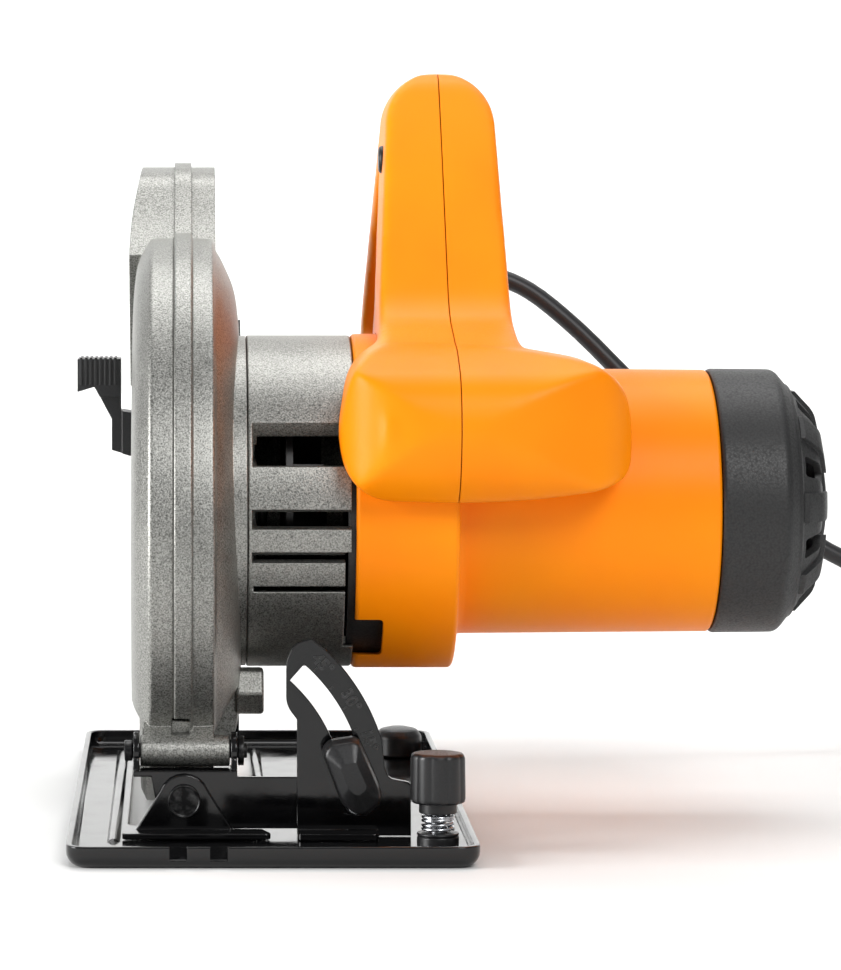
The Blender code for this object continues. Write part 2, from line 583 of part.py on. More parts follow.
def gear_train(saw, spindle_axis, armature_axis):
    """Spindle with its gear, and the armature shaft whose pinion drives it."""
    gear_low = GUARD_RIGHT + 2.3
    gear_high = MOUNT_FACE - 1
    part("spindle", turned([(GUARD_RIGHT, 0), (GUARD_RIGHT, 4.6), (BLADE_X + 1.2, 4.6),
        (BLADE_X + 1.2, SPINDLE_RADIUS),
                            (GUARD_RIGHT + 1.5, SPINDLE_RADIUS), (GUARD_RIGHT + 1.5, 6.2), (gear_high, 6.2),
                            (gear_high, 4.7), (GEAR_LEFT + 6, 4.7), (GEAR_LEFT + 6, 0)], "X", ARBOR, 24),
         STEEL, 0.3, 1, spindle_axis)
    gear = part("output_gear", prism(gear_outline(ARBOR, GEAR_TEETH, GEAR_TEETH * MODULE / 2,
        GEAR_SLANT), "X", gear_low,
                                     gear_high), STEEL, 0.35, 1, spindle_axis)
    cut(gear, rod("X", ARBOR, 6.2 + GAP, gear_low - 1, gear_high + 1))
    facing = GEAR_SLANT + math.pi + math.pi / PINION_TEETH
    shaft = part("armature_shaft", prism(gear_outline(MOTOR, PINION_TEETH, PINION_TEETH * MODULE / 2,
        facing), "X",
                                         gear_low, gear_high), STEEL, 0.3, 1, armature_axis)
    join(shaft, rod("X", MOTOR, SHAFT_RADIUS, gear_high - 2, CAP_LEFT + 27, 20))
    part("spindle_bearing", ring("X", ARBOR, SPINDLE_RADIUS + GAP, 15.8, BLADE_X + 4.7,
        GUARD_RIGHT - GAP, 32), STEEL, 0.25,
         1, saw)
    part("spindle_bush", ring("X", ARBOR, 5.0, 7.7, GEAR_LEFT + GAP, GEAR_LEFT + 6, 24), COPPER, 0.4, 1,
        saw)
    part("front_motor_bearing", ring("X", MOTOR, SHAFT_RADIUS + GAP, BEARING_OUT, GEAR_LEFT + GAP,
        GEAR_LEFT + 7.3, 24),
         STEEL, 0.25, 1, saw)


def blade_stack(spindle_axis):
    """Inner flange, blade, outer flange and the bolt in the spindle's end."""
    left = BLADE_X - BLADE_THICKNESS / 2
    right = BLADE_X + BLADE_THICKNESS / 2
    part("inner_flange", turned([(right - 1.2, SPINDLE_RADIUS + GAP), (right - 1.2, 9.6),
        (right + GAP, 9.6),
                                 (right + GAP, 19), (BLADE_X + 4.1, 17),
                                 (BLADE_X + 4.1, SPINDLE_RADIUS + GAP)], "X", ARBOR, 32),
         STEEL, 0.35, 1, spindle_axis)
    tip = BLADE_DIAMETER / 2
    gullet = tip - 8.5
    outline = []
    for tooth in range(BLADE_TEETH):
        a = TURN * tooth / BLADE_TEETH
        pitch = TURN / BLADE_TEETH
        for radius, share in ((tip, 0.0), (tip - 1.0, 0.22), (tip - 4.0, 0.55), (gullet, 0.78),
            (gullet + 1.5, 0.95),
                              (tip - 3.0, 0.98)):
            outline.append(polar(ARBOR, radius, a + share * pitch))
    blade = part("blade", prism(outline, "X", left, right), STEEL, 0.3, 1, spindle_axis)
    cut(blade, rod("X", ARBOR, 10.0, left - 1, right + 1, 32))
    part("outer_flange", ring("X", ARBOR, 4.6, 19, left - 3.1, left - GAP, 32), STEEL, 0.35, 1,
        spindle_axis)
    washer = left - 3.4
    bolt = part("blade_bolt", prism([polar(ARBOR, 7.5, TURN * i / 6) for i in range(6)], "X",
        washer - 6.2, washer - 1),
                PLATED, 0.3, 1, spindle_axis)
    join(bolt, rod("X", ARBOR, 9.0, washer - 1.4, washer, 24),
        rod("X", ARBOR, 4.2, washer - 1, GUARD_RIGHT - 2, 20))


def lower_guard(axis):
    """Sprung guard turning on the hub round the spindle; it covers the blade below the upper guard."""
    rim = LOWER_GUARD_RADIUS
    left = GUARD_LEFT + GUARD_WALL + 0.9
    right = GUARD_RIGHT - GUARD_WALL - 1.1
    sheet = 1.2
    shell = part("lower_guard", turned([
        (left, 30), (left, rim - 1.5), (left + 1.5, rim), (right - 1.5, rim), (right, rim - 1.5),
        (right, HUB_RADIUS + 0.5),
        (right - sheet, HUB_RADIUS + 0.5), (right - sheet, rim - sheet), (left + sheet, rim - sheet),
            (left + sheet, 30)],
        "X", ARBOR, 56), CAST, 0.5, 0.9, axis)
    far = 2 * rim
    open_angles = (GUARD_REAR - 341.0, 110.0, 165.0, GUARD_FRONT - 12.5)
    gap = prism([ARBOR] + [polar(ARBOR, far, math.radians(angle)) for angle in open_angles], "X",
        left - 1, right + 1)
    opening = helper("lower_guard_gap", gap)
    cut(opening, rod("X", ARBOR, 42, left - 2, right + 2, 40))
    apply_tool(shell, "DIFFERENCE", opening)
    y, z = ARBOR
    outside = GUARD_LEFT
    lever = part("lower_guard_lever", prism([
        (left - GAP, z + 32), (outside - 1, z + 25), (outside - 7.7, z + 27), (outside - 7.7, z + 38),
        (outside - 13.8, z + 49.5),
        (outside - 19.8, z + 47.7), (outside - 19.8, z + 59.4), (outside - 4.5, z + 59.4),
            (outside - 4.5, z + 41),
        (outside - 1, z + 40.5), (left - GAP, z + 40.5)], "Y", y - 9, y + 9), BLACK_PLASTIC, 0.5, on=axis)
    cut(lever, box((outside - 25, y - 10, z + 10), (outside - 4, y - 6, z + 46)),
        box((outside - 25, y + 6, z + 10), (outside - 4, y + 10, z + 46)))


def guard_spring(saw):
    steps = 14
    turns = 2
    low = BLADE_X + 5.2
    high = GUARD_RIGHT - GUARD_WALL - 3.2
    coil = []
    for i in range(steps * turns + 1):
        y, z = polar(ARBOR, HUB_RADIUS + 1.4, TURN * i / steps)
        coil.append((low + (high - low) * i / (steps * turns), y, z))
    tube("guard_return_spring", coil, 0.6, STEEL, 0.3, 1, on=saw)


def hollow(radius, flat, low, high):
    """The inside of a housing: a drum flattened underneath, as a bmesh to cut with."""
    points = []
    down = -math.pi / 2 + DEPTH_SWING
    half = math.acos(min(1.0, flat / radius))
    steps = 40
    for i in range(steps + 1):
        angle = down + half + (TURN - 2 * half) * i / steps
        points.append(polar(MOTOR, radius, angle))
    if half < 1e-6:
        points.pop()
    return prism(points, "X", low, high)


def gear_housing(saw):
    """Cast drum between guard and motor: end wall with the bearing seats, and the exhaust louvres."""
    right = GEAR_LEFT + GEAR_HOUSING_LENGTH
    outer = FLANGE_RADIUS - 0.5
    drum = part("gear_housing", hollow(outer, UNDERSIDE, GEAR_LEFT, right), CAST, 0.45, 0.9, saw)
    cut(drum, hollow(outer - HOUSING_WALL, UNDERSIDE - HOUSING_WALL, GEAR_LEFT + 3, right + 1))
    join(drum, rod("X", MOTOR, BEARING_OUT + 3, GEAR_LEFT + 1, GEAR_LEFT + 7.5, 24),
         rod("X", ARBOR, 10.5, GEAR_LEFT + 1, GEAR_LEFT + 6.3, 24))
    cut(drum, rod("X", MOTOR, BEARING_OUT + GAP, GEAR_LEFT - 1, GEAR_LEFT + 9, 24),
        rod("X", ARBOR, 8.0, GEAR_LEFT - 1, GEAR_LEFT + 9, 24))
    z = MOTOR[1]
    for low, high in ((15.4, 22.0), (-4.5, 0.5), (-16.0, -14.0), (-27.0, -24.8)):
        cut(drum, box((GEAR_LEFT + 4.5, MOTOR[0] - 70, z + low), (right - 2.5, MOTOR[0] - 12, z + high)))


def motor_housing(saw):
    """Moulded housing: a wide flange against the gear housing and the drum round the stator."""
    cap_end = DRUM_LEFT + DRUM_LENGTH
    shell = part("motor_housing", hollow(FLANGE_RADIUS, UNDERSIDE, FLANGE_LEFT, DRUM_LEFT), ORANGE, 0.4,
        on=saw)
    join(shell, turned([(FLANGE_LEFT + 20, 0), (FLANGE_LEFT + 20, DRUM_RADIUS),
        (cap_end, DRUM_RADIUS - 0.8), (cap_end, 0)],
                       "X", MOTOR, 48))
    cut(shell, hollow(FLANGE_RADIUS - HOUSING_WALL, UNDERSIDE - HOUSING_WALL, FLANGE_LEFT - 1,
        DRUM_LEFT - HOUSING_WALL))
    cut(shell, turned([(FLANGE_LEFT + 10, 0), (FLANGE_LEFT + 10, DRUM_RADIUS - HOUSING_WALL),
                       (cap_end + 1, DRUM_RADIUS - HOUSING_WALL - 0.8), (cap_end + 1, 0)], "X", MOTOR, 48))
    cut(shell, box((FLANGE_LEFT - 1, MOTOR[0] - 70, MOTOR[1] - 50.5),
        (FLANGE_LEFT + 10, MOTOR[0] - 20, MOTOR[1] - 37)))
    cut(shell, rod("X", ARBOR, 12.0, FLANGE_LEFT - 1, FLANGE_LEFT + 2, 24))


def end_cap(saw):
    """Moulded cap with air inlets round its cone."""
    wall = 2.5
    r = DRUM_RADIUS - 0.8
    profile = [(CAP_LEFT, r), (CAP_LEFT + 23, r), (CAP_LEFT + 26.7, r - 4.9), (CAP_LEFT + 35, r - 14),
        (CAP_LEFT + 38.3, r - 25),
               (CAP_RIGHT, 14), (CAP_RIGHT, 0)]
    inner = [(CAP_RIGHT - wall, 0), (CAP_RIGHT - wall, 13), (CAP_LEFT + 36, r - 26),
        (CAP_LEFT + 33, r - 16),
             (CAP_LEFT + 25, r - 7), (CAP_LEFT + 21, r - wall), (CAP_LEFT, r - wall)]
    shell = part("end_cap", turned(profile[::-1] + inner[::-1], "X", MOTOR, 40), BLACK_PLASTIC, 0.5, on=saw)
    vents = 8
    for i in range(vents):
        angle = TURN * (i + 0.5) / vents
        start = polar(MOTOR, 22, angle)
        across = (-math.sin(angle) * 3.2, math.cos(angle) * 3.2)
        end = polar(MOTOR, 36, angle)
        slot = [(start[0] + across[0], start[1] + across[1]), (start[0] - across[0], start[1] - across[1]),
                (end[0] - across[0], end[1] - across[1]), (end[0] + across[0], end[1] + across[1])]
        cut(shell, prism(slot, "X", CAP_LEFT + 27, CAP_RIGHT + 1))


def motor(saw, armature_axis):
    """Universal motor: stator, armature, commutator, fan, brushes and the rear bearing's bracket."""
    core = FLANGE_LEFT + 20
    part("stator", ring("X", MOTOR, 27.5, DRUM_RADIUS - HOUSING_WALL - 1.4, core, core + 56, 32), STEEL,
        0.6, 0.8, saw)
    slots = 12
    outline = []
    for i in range(slots):
        a = TURN * i / slots
        for radius, share in ((26.5, 0.06), (26.5, 0.80), (15, 0.84), (15, 1.02)):
            outline.append(polar(MOTOR, radius, a + share * TURN / slots))
    armature = part("armature_core", prism(outline, "X", core, core + 54), COPPER, 0.5, 0.6, armature_axis)
    cut(armature, rod("X", MOTOR, SHAFT_RADIUS + GAP, core - 1, core + 55, 20))
    part("commutator", ring("X", MOTOR, SHAFT_RADIUS + GAP, 12, core + 68, core + 86, 24), COPPER, 0.35,
        1, armature_axis)
    bore = SHAFT_RADIUS + GAP
    fan = part("cooling_fan", turned([(GEAR_LEFT + 13, bore), (GEAR_LEFT + 13, 43),
        (GEAR_LEFT + 15.5, 43), (GEAR_LEFT + 15.5, 9),
                                      (GEAR_LEFT + 28, 9), (GEAR_LEFT + 28, bore)], "X", MOTOR, 32),
                                      BLACK_PLASTIC, 0.5,
               on=armature_axis)
    for i in range(9):
        a = TURN * i / 9
        vane = [polar(MOTOR, 8.5, a - 0.1), polar(MOTOR, 42, a - 0.02), polar(MOTOR, 42, a + 0.02),
            polar(MOTOR, 8.5, a + 0.1)]
        join(fan, prism(vane, "X", GEAR_LEFT + 15, GEAR_LEFT + 26))
    disc = core + 92
    bracket = part("rear_bearing_bracket",
        ring("X", MOTOR, 17, DRUM_RADIUS - HOUSING_WALL - 1.4, disc, disc + 3, 32),
                   BLACK_PLASTIC, 0.5, on=saw)
    cup = CAP_LEFT + 18
    join(bracket, ring("X", MOTOR, BEARING_OUT + GAP, BEARING_OUT + 3, cup, cup + 8, 24))
    for sign in (-1, 1):
        near, away = sorted((sign * (BEARING_OUT + 1), sign * 22))
        join(bracket, box((disc + 1, MOTOR[0] - 4, MOTOR[1] + near),
            (cup + 8, MOTOR[0] + 4, MOTOR[1] + away)))
    part("rear_motor_bearing", ring("X", MOTOR, SHAFT_RADIUS + GAP, BEARING_OUT, cup + 0.5, cup + 7.5,
        24), STEEL, 0.25, 1, saw)
    for name, sign in (("front", -1), ("rear", 1)):
        low, high = sorted((sign * 14.5, sign * 32))
        holder = part(f"brush_holder_{name}", box((core + 68, MOTOR[0] + low, MOTOR[1] - 6),
                                                  (core + 84, MOTOR[0] + high, MOTOR[1] + 6)), COPPER,
                                                  0.4, 1, saw)
        cut(holder, box((core + 71, MOTOR[0] + low - 1, MOTOR[1] - 3),
            (core + 81, MOTOR[0] + high + 1, MOTOR[1] + 3)))
        low, high = sorted((sign * 12.4, sign * 27))
        part(f"carbon_brush_{name}", box((core + 71.4, MOTOR[0] + low, MOTOR[1] - 2.6),
                                         (core + 80.6, MOTOR[0] + high, MOTOR[1] + 2.6)),
                                         (0.05, 0.05, 0.05), 0.7, on=saw)


def grip(u, v):
    """A point of the grip: u along it from its foot to its top, v from its underside towards its front."""
    along = (0.579, 0.816)
    return (MOTOR[0] + 22.8 + u * along[0] - v * along[1], MOTOR[1] + 61.1 + u * along[1] + v * along[0])


def handle_screw_centres():
    y, z = MOTOR
    return (y + 68, z + 135), (y + 80, z + 36.5), (y - 50, z + 45)


def handle_screws(saw):
    for i, centre in enumerate(handle_screw_centres(), 1):
        part(f"handle_screw_{i}", turned([(SEAM_X - 10, 0), (SEAM_X - 10, 1.9), (SEAM_X + 9, 1.9),
            (SEAM_X + 9, 3.5),
                                          (SEAM_X + 11.5, 3.5), (SEAM_X + 11.5, 0)], "X", centre, 16),
                                          STEEL, 0.35, 1, saw)


def handle_half(name, low, high, saw):
    """One half of the clamshell: D-shaped grip and the front pod, clamped over the motor housing."""
    y, z = MOTOR
    loop = filleted([(y - 66, z + 5, 3), (y - 78, z + 15, 6), (y - 81, z + 30, 8), (y - 75, z + 44, 8),
        (y - 52, z + 55.5, 6),
                     (y - 17, z + 65, 8), (y + 23, z + 123, 12), (y + 44, z + 150.2, 8),
                     (y + 60, z + 149, 10),
                     (y + 73, z + 138, 10), (y + 121, z + 67, 10), (y + 121, z + 48, 10),
                         (y + 100, z + 36, 8), (y + 61, z + 20, 6),
                     (y + 30, z + 2, 0), (y, z, 0)], 2)
    half = part(name, prism(loop, "X", low, high), ORANGE, 0.4, on=saw)
    front = filleted([(SEAM_X - HANDLE_FOOT_LEFT, z - 12, 0), (SEAM_X + HANDLE_FOOT_RIGHT, z - 12, 0),
                      (SEAM_X + HANDLE_FOOT_RIGHT, z + 50, 0), (SEAM_X + HANDLE_TOP_HALF, z + 132, 0)], 2)
    front += arc((SEAM_X, z + 132 - 0.9), HANDLE_TOP_HALF, 8, 172, 12)
    front += [(SEAM_X - HANDLE_TOP_HALF, z + 132), (SEAM_X - HANDLE_FOOT_LEFT, z + 50)]
    keep(half, prism(front, "Y", y - 100, y + 140))
    face = filleted([(SEAM_X - 39.3, z + 26.5, 6), (SEAM_X - 36.5, z + 12, 4),
        (SEAM_X - 28, z + 5.5, 4), (SEAM_X, z + 4.3, 0),
                     (SEAM_X + 26, z + 5.5, 0), (SEAM_X + 48, z + 9, 4), (SEAM_X + 56, z + 14, 4),
                     (SEAM_X + 57.5, z + 26, 8),
                     (SEAM_X + 55, z + 40, 6), (SEAM_X + 44, z + 49.5, 6), (SEAM_X + 18, z + 54.5, 0),
                         (SEAM_X - 26, z + 55.6, 5),
                     (SEAM_X - 34.5, z + 48, 6)], 2)
    plan = [(SEAM_X - 40, y - 30), (SEAM_X - 40, y - 62), (SEAM_X - 33, y - 74),
        (SEAM_X - 20, y - 79.5), (SEAM_X + 5, y - 81.5),
            (SEAM_X + 30, y - 78), (SEAM_X + 50, y - 68), (SEAM_X + 58, y - 56), (SEAM_X + 58, y - 30)]
    side = filleted([(y - 30, z - 5, 0), (y - 64, z + 2, 4), (y - 76, z + 12, 8), (y - 82, z + 29, 9),
        (y - 77, z + 44, 9),
                     (y - 56, z + 54.5, 6), (y - 30, z + 58, 0)], 2)
    pod = helper(name + "_pod", prism(face, "Y", y - 90, y - 30))
    keep(pod, prism(plan, "Z", z - 10, z + 70), prism(side, "X", low, high))
    apply_tool(half, "UNION", pod)
    fit = GAP
    cut(half, turned([(FLANGE_LEFT - 30, 0), (FLANGE_LEFT - 30, FLANGE_RADIUS + fit),
        (DRUM_LEFT + fit, FLANGE_RADIUS + fit),
                      (DRUM_LEFT + fit, DRUM_RADIUS + fit), (CAP_RIGHT, DRUM_RADIUS + fit),
                      (CAP_RIGHT, 0)], "X", MOTOR, 48))
    window = filleted([(y + 22.8, z + 61.1, 5), (y + 63, z + 117, 8), (y + 71, z + 116, 8),
        (y + 106, z + 66, 8),
                       (y + 105, z + 55, 6), (y + 60, z + 38, 6), (y + 36, z + 45, 6)], 3)
    cut(half, prism(window, "X", SEAM_X - 40, SEAM_X + 40))
    cavity = [grip(-2, 4), grip(64, 4), grip(64, GRIP_DEPTH - 4), grip(-2, GRIP_DEPTH - 4)]
    cut(half, prism(cavity, "X", SEAM_X - 14, SEAM_X + 14))
    slot = [grip(2, -3), grip(47, -3), grip(47, 5), grip(2, 5)]
    cut(half, prism(slot, "X", SEAM_X - 6, SEAM_X + 6))
    cut(half, relief_shape(RELIEF_SEAT), rod("X", grip(57, 20), LOCK_RADIUS + GAP, SEAM_X - 30,
        SEAM_X - 10, 24))
    for centre in handle_screw_centres():
        cut(half, turned([(SEAM_X - 10.5, 0), (SEAM_X - 10.5, 2.2), (SEAM_X + 8.7, 2.2),
            (SEAM_X + 8.7, 3.8),
                          (SEAM_X + 40, 3.8), (SEAM_X + 40, 0)], "X", centre, 16))


def oriented(bm, start, direction):
    """Turns a shape built along +Z from the origin to start at a point and run along a direction."""
    pose = Matrix.Translation(Vector(start)) @ Vector((0, 0,
        1)).rotation_difference(Vector(direction)).to_matrix().to_4x4()
    bmesh.ops.transform(bm, matrix=pose, verts=bm.verts)
    return bm


RELIEF_SEAT = ((-12.0, 0), (-12.0, 8.3), (9.0, 8.3), (9.0, 0))
RELIEF_DIRECTION = (0.0, 0.95, 0.312)


def relief_shape(profile):
    start = (SEAM_X, MOTOR[0] + 118.5, MOTOR[1] + 59.2)
    return oriented(turned(profile, "Z", (0, 0), 20), start, RELIEF_DIRECTION)


def mains_lead(saw):
    """Tapered strain relief, the lead on its free route, the wound-up rest of it, and its plug."""
    relief = [(-11.6, 0), (-11.6, 7.9), (0, 7.9), (2, 6.6), (16, 5.6), (32, 4.5), (32, 0)]
    part("strain_relief", relief_shape(relief), BLACK_PLASTIC, 0.5, on=saw)
    direction = Vector(RELIEF_DIRECTION).normalized()
    exit_point = Vector((SEAM_X, MOTOR[0] + 118.5, MOTOR[1] + 59.2)) + direction * (32 + 1.5 * GAP)
    upper = [tuple(exit_point), (63.8, 139.6, 180.6), (65.6, 149.5, 183.6), (70.4, 159.0, 185.9),
        (78.0, 166.0, 186.5)]
    lower = [(79.8, 167.2, 186.5), (89.0, 170.3, 184.9), (101.0, 171.0, 181.3), (112.4, 171.0, 174.8),
        (128.2, 170.0, 161.4),
             (144.1, 168.0, 145.4), (164.0, 165.0, 125.0), (185.0, 162.5, 105.0), (205.0, 160.6, 88.6),
             (221.5, 160.0, 77.4),
             (231.0, 160.0, 72.2), (252.0, 160.5, 61.0), (272.0, 162.0, 49.5), (291.0, 164.5, 37.2),
                 (307.0, 167.2, 26.0),
             (321.5, 169.6, 16.2)]
    tube("cord_upper", smooth_route(upper, 4), CORD_RADIUS, BLACK_PLASTIC, 0.5, resolution=2, on=saw)
    tube("cord_lower", smooth_route(lower, 2), CORD_RADIUS, BLACK_PLASTIC, 0.5, resolution=2)
    part("cord_coil", ring("Z", COIL_CENTRE, COIL_MIDDLE - COIL_HALF_WIDTH,
        COIL_MIDDLE + COIL_HALF_WIDTH, 0, COIL_HEIGHT, 40),
         BLACK_PLASTIC, 0.5)
    right = COIL_CENTRE[0] - 46
    y = COIL_CENTRE[1] - COIL_MIDDLE - 7
    left = right - 42
    half = 17
    body = part("mains_plug", loft([[(x, y + dy, 10.5 + dz) for dy, dz in
                                     filleted([(-w, -t, 4), (w, -t, 4), (w, t, 4), (-w, t, 4)], 3)]
                                    for x, w,
                                        t in ((right, 5, 5), (right - 12, 8, 7),
                                        (right - 20, half, 10.5), (left, half, 10.5))]),
                BLACK_PLASTIC, 0.5)
    join(body, rod("X", (y - 9.5, 10.5), 2.4, left - 19, left + 1, 16),
        rod("X", (y + 9.5, 10.5), 2.4, left - 19, left + 1, 16))


def smooth_route(points, count):
    """Catmull-Rom curve through the chosen points, with this many steps from each to the next."""
    ends = [Vector(points[0]) * 2 - Vector(points[1])] + [Vector(p) for p in points]
    ends.append(Vector(points[-1]) * 2 - Vector(points[-2]))
    route = []
    for before, here, there, after in zip(ends, ends[1:], ends[2:], ends[3:]):
        for step in range(count):
            t = step / count
            route.append(
                tuple(
                0.5 * (2 * here + (there - before) * t + (2 * before - 5 * here + 4 * there - after) * t * t
                                      + (3 * here - before - 3 * there + after) * t**3)))
    route.append(tuple(points[-1]))
    return route


def switchgear(saw, trigger_axis, lock_axis):
    """Switch in the grip, its trigger below and the lock-off button in the left side."""
    body = [grip(9, 19.5), grip(40, 19.5), grip(40, 28.5), grip(9, 28.5)]
    part("switch_body", prism(body, "X", SEAM_X - 9, SEAM_X + 9), BLACK_PLASTIC, 0.5, on=saw)
    outline = [grip(3, 6), grip(9, 0), grip(16, -7.5), grip(30, -9.5), grip(38, -8.5), grip(45, -0.5),
        grip(46, 7), grip(24, 9),
               grip(3, 14)]
    part("trigger", prism(outline, "X", SEAM_X - 5.4, SEAM_X + 5.4), BLACK_PLASTIC, 0.5, on=trigger_axis)
    centre = grip(57, 20)
    outer = SEAM_X - HANDLE_TOP_HALF - 2.6
    part("lock_off_button", turned([(outer, 0), (outer, 4.2), (outer + 0.8, LOCK_RADIUS),
        (SEAM_X - 10.5, LOCK_RADIUS), (SEAM_X - 10.5, 0)], "X", centre,
                                   20), BLACK_PLASTIC, 0.5, on=lock_axis)


def depth_lock(saw, lever_axis):
    """Bolt through the depth arc's slot, and the wing nut that clamps it."""
    centre = polar(HINGE, ARC_RADIUS, ARC_START + DEPTH_SWING)
    tip = MOUNT_FACE + 10
    part("depth_lock_bolt", rod("X", centre, BOLT_RADIUS, GUARD_RIGHT + 1.5, tip, 20), PLATED, 0.35, 1, saw)
    lever = part("depth_lock_lever", rod("X", centre, 7.5, MOUNT_FACE, MOUNT_FACE + 8, 24),
        BLACK_PLASTIC, 0.5,
                 on=lever_axis)
    y, z = centre
    wing = filleted([(y - 4, z + 4, 0), (y + 14, z + 11, 2), (y + 18.5, z + 7, 2), (y + 15, z + 2, 2),
        (y + 4, z - 4, 0)], 2)
    join(lever, prism(wing, "X", MOUNT_FACE + 1, MOUNT_FACE + 6.5))
    cut(lever, rod("X", centre, BOLT_RADIUS + GAP, MOUNT_FACE - 1, MOUNT_FACE + 9, 20))


def spindle_lock(axis):
    """Sprung button on the inner flank, behind the gear housing: it stops the spindle for a blade change."""
    low = DISH_RIGHT - 3
    part("spindle_lock_button", turned([(low, 0), (low, 5.5), (low + 9, 5.5), (low + 10, 4.5),
        (low + 10, 0)], "X",
                                       SPINDLE_LOCK, 20), BLACK_PLASTIC, 0.5, on=axis)


def build():
    clear_scene()
    tilt = axis_empty("tilt_axis", TILT_X, 0, TILT_Z)
    saw = axis_empty("depth_axis", BLADE_X, *HINGE, parent=tilt)
    spindle_axis = axis_empty("spindle_axis", BLADE_X, *ARBOR, parent=saw)
    armature_axis = axis_empty("armature_axis", BLADE_X, *MOTOR, parent=saw)
    guard_axis = axis_empty("lower_guard_axis", BLADE_X, *ARBOR, parent=saw)
    bevel_lever_axis = axis_empty("bevel_lever_axis", TILT_X + BEVEL_RADIUS, BRACKET_Y, TILT_Z, parent=tilt)
    depth_lever_axis = axis_empty("depth_lever_axis", MOUNT_FACE,
        *polar(HINGE, ARC_RADIUS, ARC_START + DEPTH_SWING), parent=saw)
    fence_axis = axis_empty("fence_axis", FENCE_X, FENCE_Y, DECK)
    trigger_axis = axis_empty("trigger_axis", SEAM_X, *grip(3.5, 11), parent=saw)
    lock_axis = axis_empty("lock_off_axis", SEAM_X, *grip(57, 20), parent=saw)
    spindle_lock_axis = axis_empty("spindle_lock_axis", MOUNT_FACE, *SPINDLE_LOCK, parent=saw)
    base_plate()
    front_pivot_bracket()
    bevel_quadrant()
    rear_pivot_bracket()
    fence_clamp(fence_axis)
    front_tilt_bracket(tilt)
    bevel_rivets(tilt)
    depth_arc(tilt)
    bevel_lock(tilt, bevel_lever_axis)
    upper_guard(saw)
    gear_train(saw, spindle_axis, armature_axis)
    blade_stack(spindle_axis)
    lower_guard(guard_axis)
    guard_spring(saw)
    gear_housing(saw)
    motor_housing(saw)
    end_cap(saw)
    motor(saw, armature_axis)
    handle_half("handle_left", SEAM_X - 60, SEAM_X - GAP / 2, saw)
    handle_half("handle_right", SEAM_X + GAP / 2, SEAM_X + 60, saw)
    switchgear(saw, trigger_axis, lock_axis)
    handle_screws(saw)
    depth_lock(saw, depth_lever_axis)
    spindle_lock(spindle_lock_axis)
    mains_lead(saw)


build()
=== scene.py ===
"""A corded circular saw with its body raised, standing on a pale studio floor. Sizes are in millimetres until a mesh is made."""

import json
import math

import bmesh
import bpy
import numpy as np
from mathutils import Matrix, Vector


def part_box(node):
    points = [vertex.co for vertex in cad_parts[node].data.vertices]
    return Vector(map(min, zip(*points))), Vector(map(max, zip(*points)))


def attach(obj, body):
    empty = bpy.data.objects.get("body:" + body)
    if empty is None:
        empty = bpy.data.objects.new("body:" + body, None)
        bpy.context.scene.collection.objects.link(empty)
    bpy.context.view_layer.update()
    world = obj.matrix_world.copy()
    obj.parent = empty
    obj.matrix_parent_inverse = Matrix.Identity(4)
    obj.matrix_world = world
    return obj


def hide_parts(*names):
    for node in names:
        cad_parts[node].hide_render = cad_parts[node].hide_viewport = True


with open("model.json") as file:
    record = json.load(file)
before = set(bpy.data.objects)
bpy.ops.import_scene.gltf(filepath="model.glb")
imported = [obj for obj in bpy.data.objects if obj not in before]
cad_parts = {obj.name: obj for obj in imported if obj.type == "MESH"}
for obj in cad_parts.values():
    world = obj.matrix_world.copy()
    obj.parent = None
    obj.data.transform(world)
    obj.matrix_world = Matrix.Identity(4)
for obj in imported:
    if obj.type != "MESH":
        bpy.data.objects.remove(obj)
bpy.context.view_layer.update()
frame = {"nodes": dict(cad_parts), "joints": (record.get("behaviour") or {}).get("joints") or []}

# ---------------------------------------------------------------------------------------------------------------------
# The studio: a white sweep under large soft boxes. The camera looks straight back along the saw's length from low
# in front, a little left of the blade.
# ---------------------------------------------------------------------------------------------------------------------
FRAME_WIDTH, FRAME_HEIGHT = 841, 970
FOCAL = 4054.0
EYE = (-0.02823, -1.436, 0.214)
EYE_IN_FRAME = (185.0, 199.0)


def linear(code):
    """The linear colour of an sRGB hex code."""
    values = [int(code[i:i + 2], 16) / 255 for i in (0, 2, 4)]
    return tuple(v / 12.92 if v <= 0.04045 else ((v + 0.055) / 1.055) ** 2.4 for v in values) + (1.0,)


def add_node(tree, kind, settings=None, values=None, links=None):
    """One node with its properties, its input values and its links from (node, output)."""
    node = tree.nodes.new(kind)
    for key, value in (settings or {}).items():
        setattr(node, key, value)
    for key, value in (values or {}).items():
        node.inputs[key].default_value = value
    for key, (source, output) in (links or {}).items():
        tree.links.new(source.outputs[output], node.inputs[key])
    return node


camera_data = bpy.data.cameras.new("camera")
camera = bpy.data.objects.new("camera", camera_data)
bpy.context.scene.collection.objects.link(camera)
bpy.context.scene.camera = camera
camera.location = EYE
camera.rotation_euler = (math.pi / 2, 0, 0)
camera_data.sensor_fit = "AUTO"
camera_data.sensor_width = 36.0
camera_data.lens = FOCAL / FRAME_HEIGHT * 36.0
camera_data.shift_x = (FRAME_WIDTH / 2 - EYE_IN_FRAME[0]) / FRAME_HEIGHT
camera_data.shift_y = -(FRAME_HEIGHT / 2 - EYE_IN_FRAME[1]) / FRAME_HEIGHT
camera_data.clip_end = 30.0

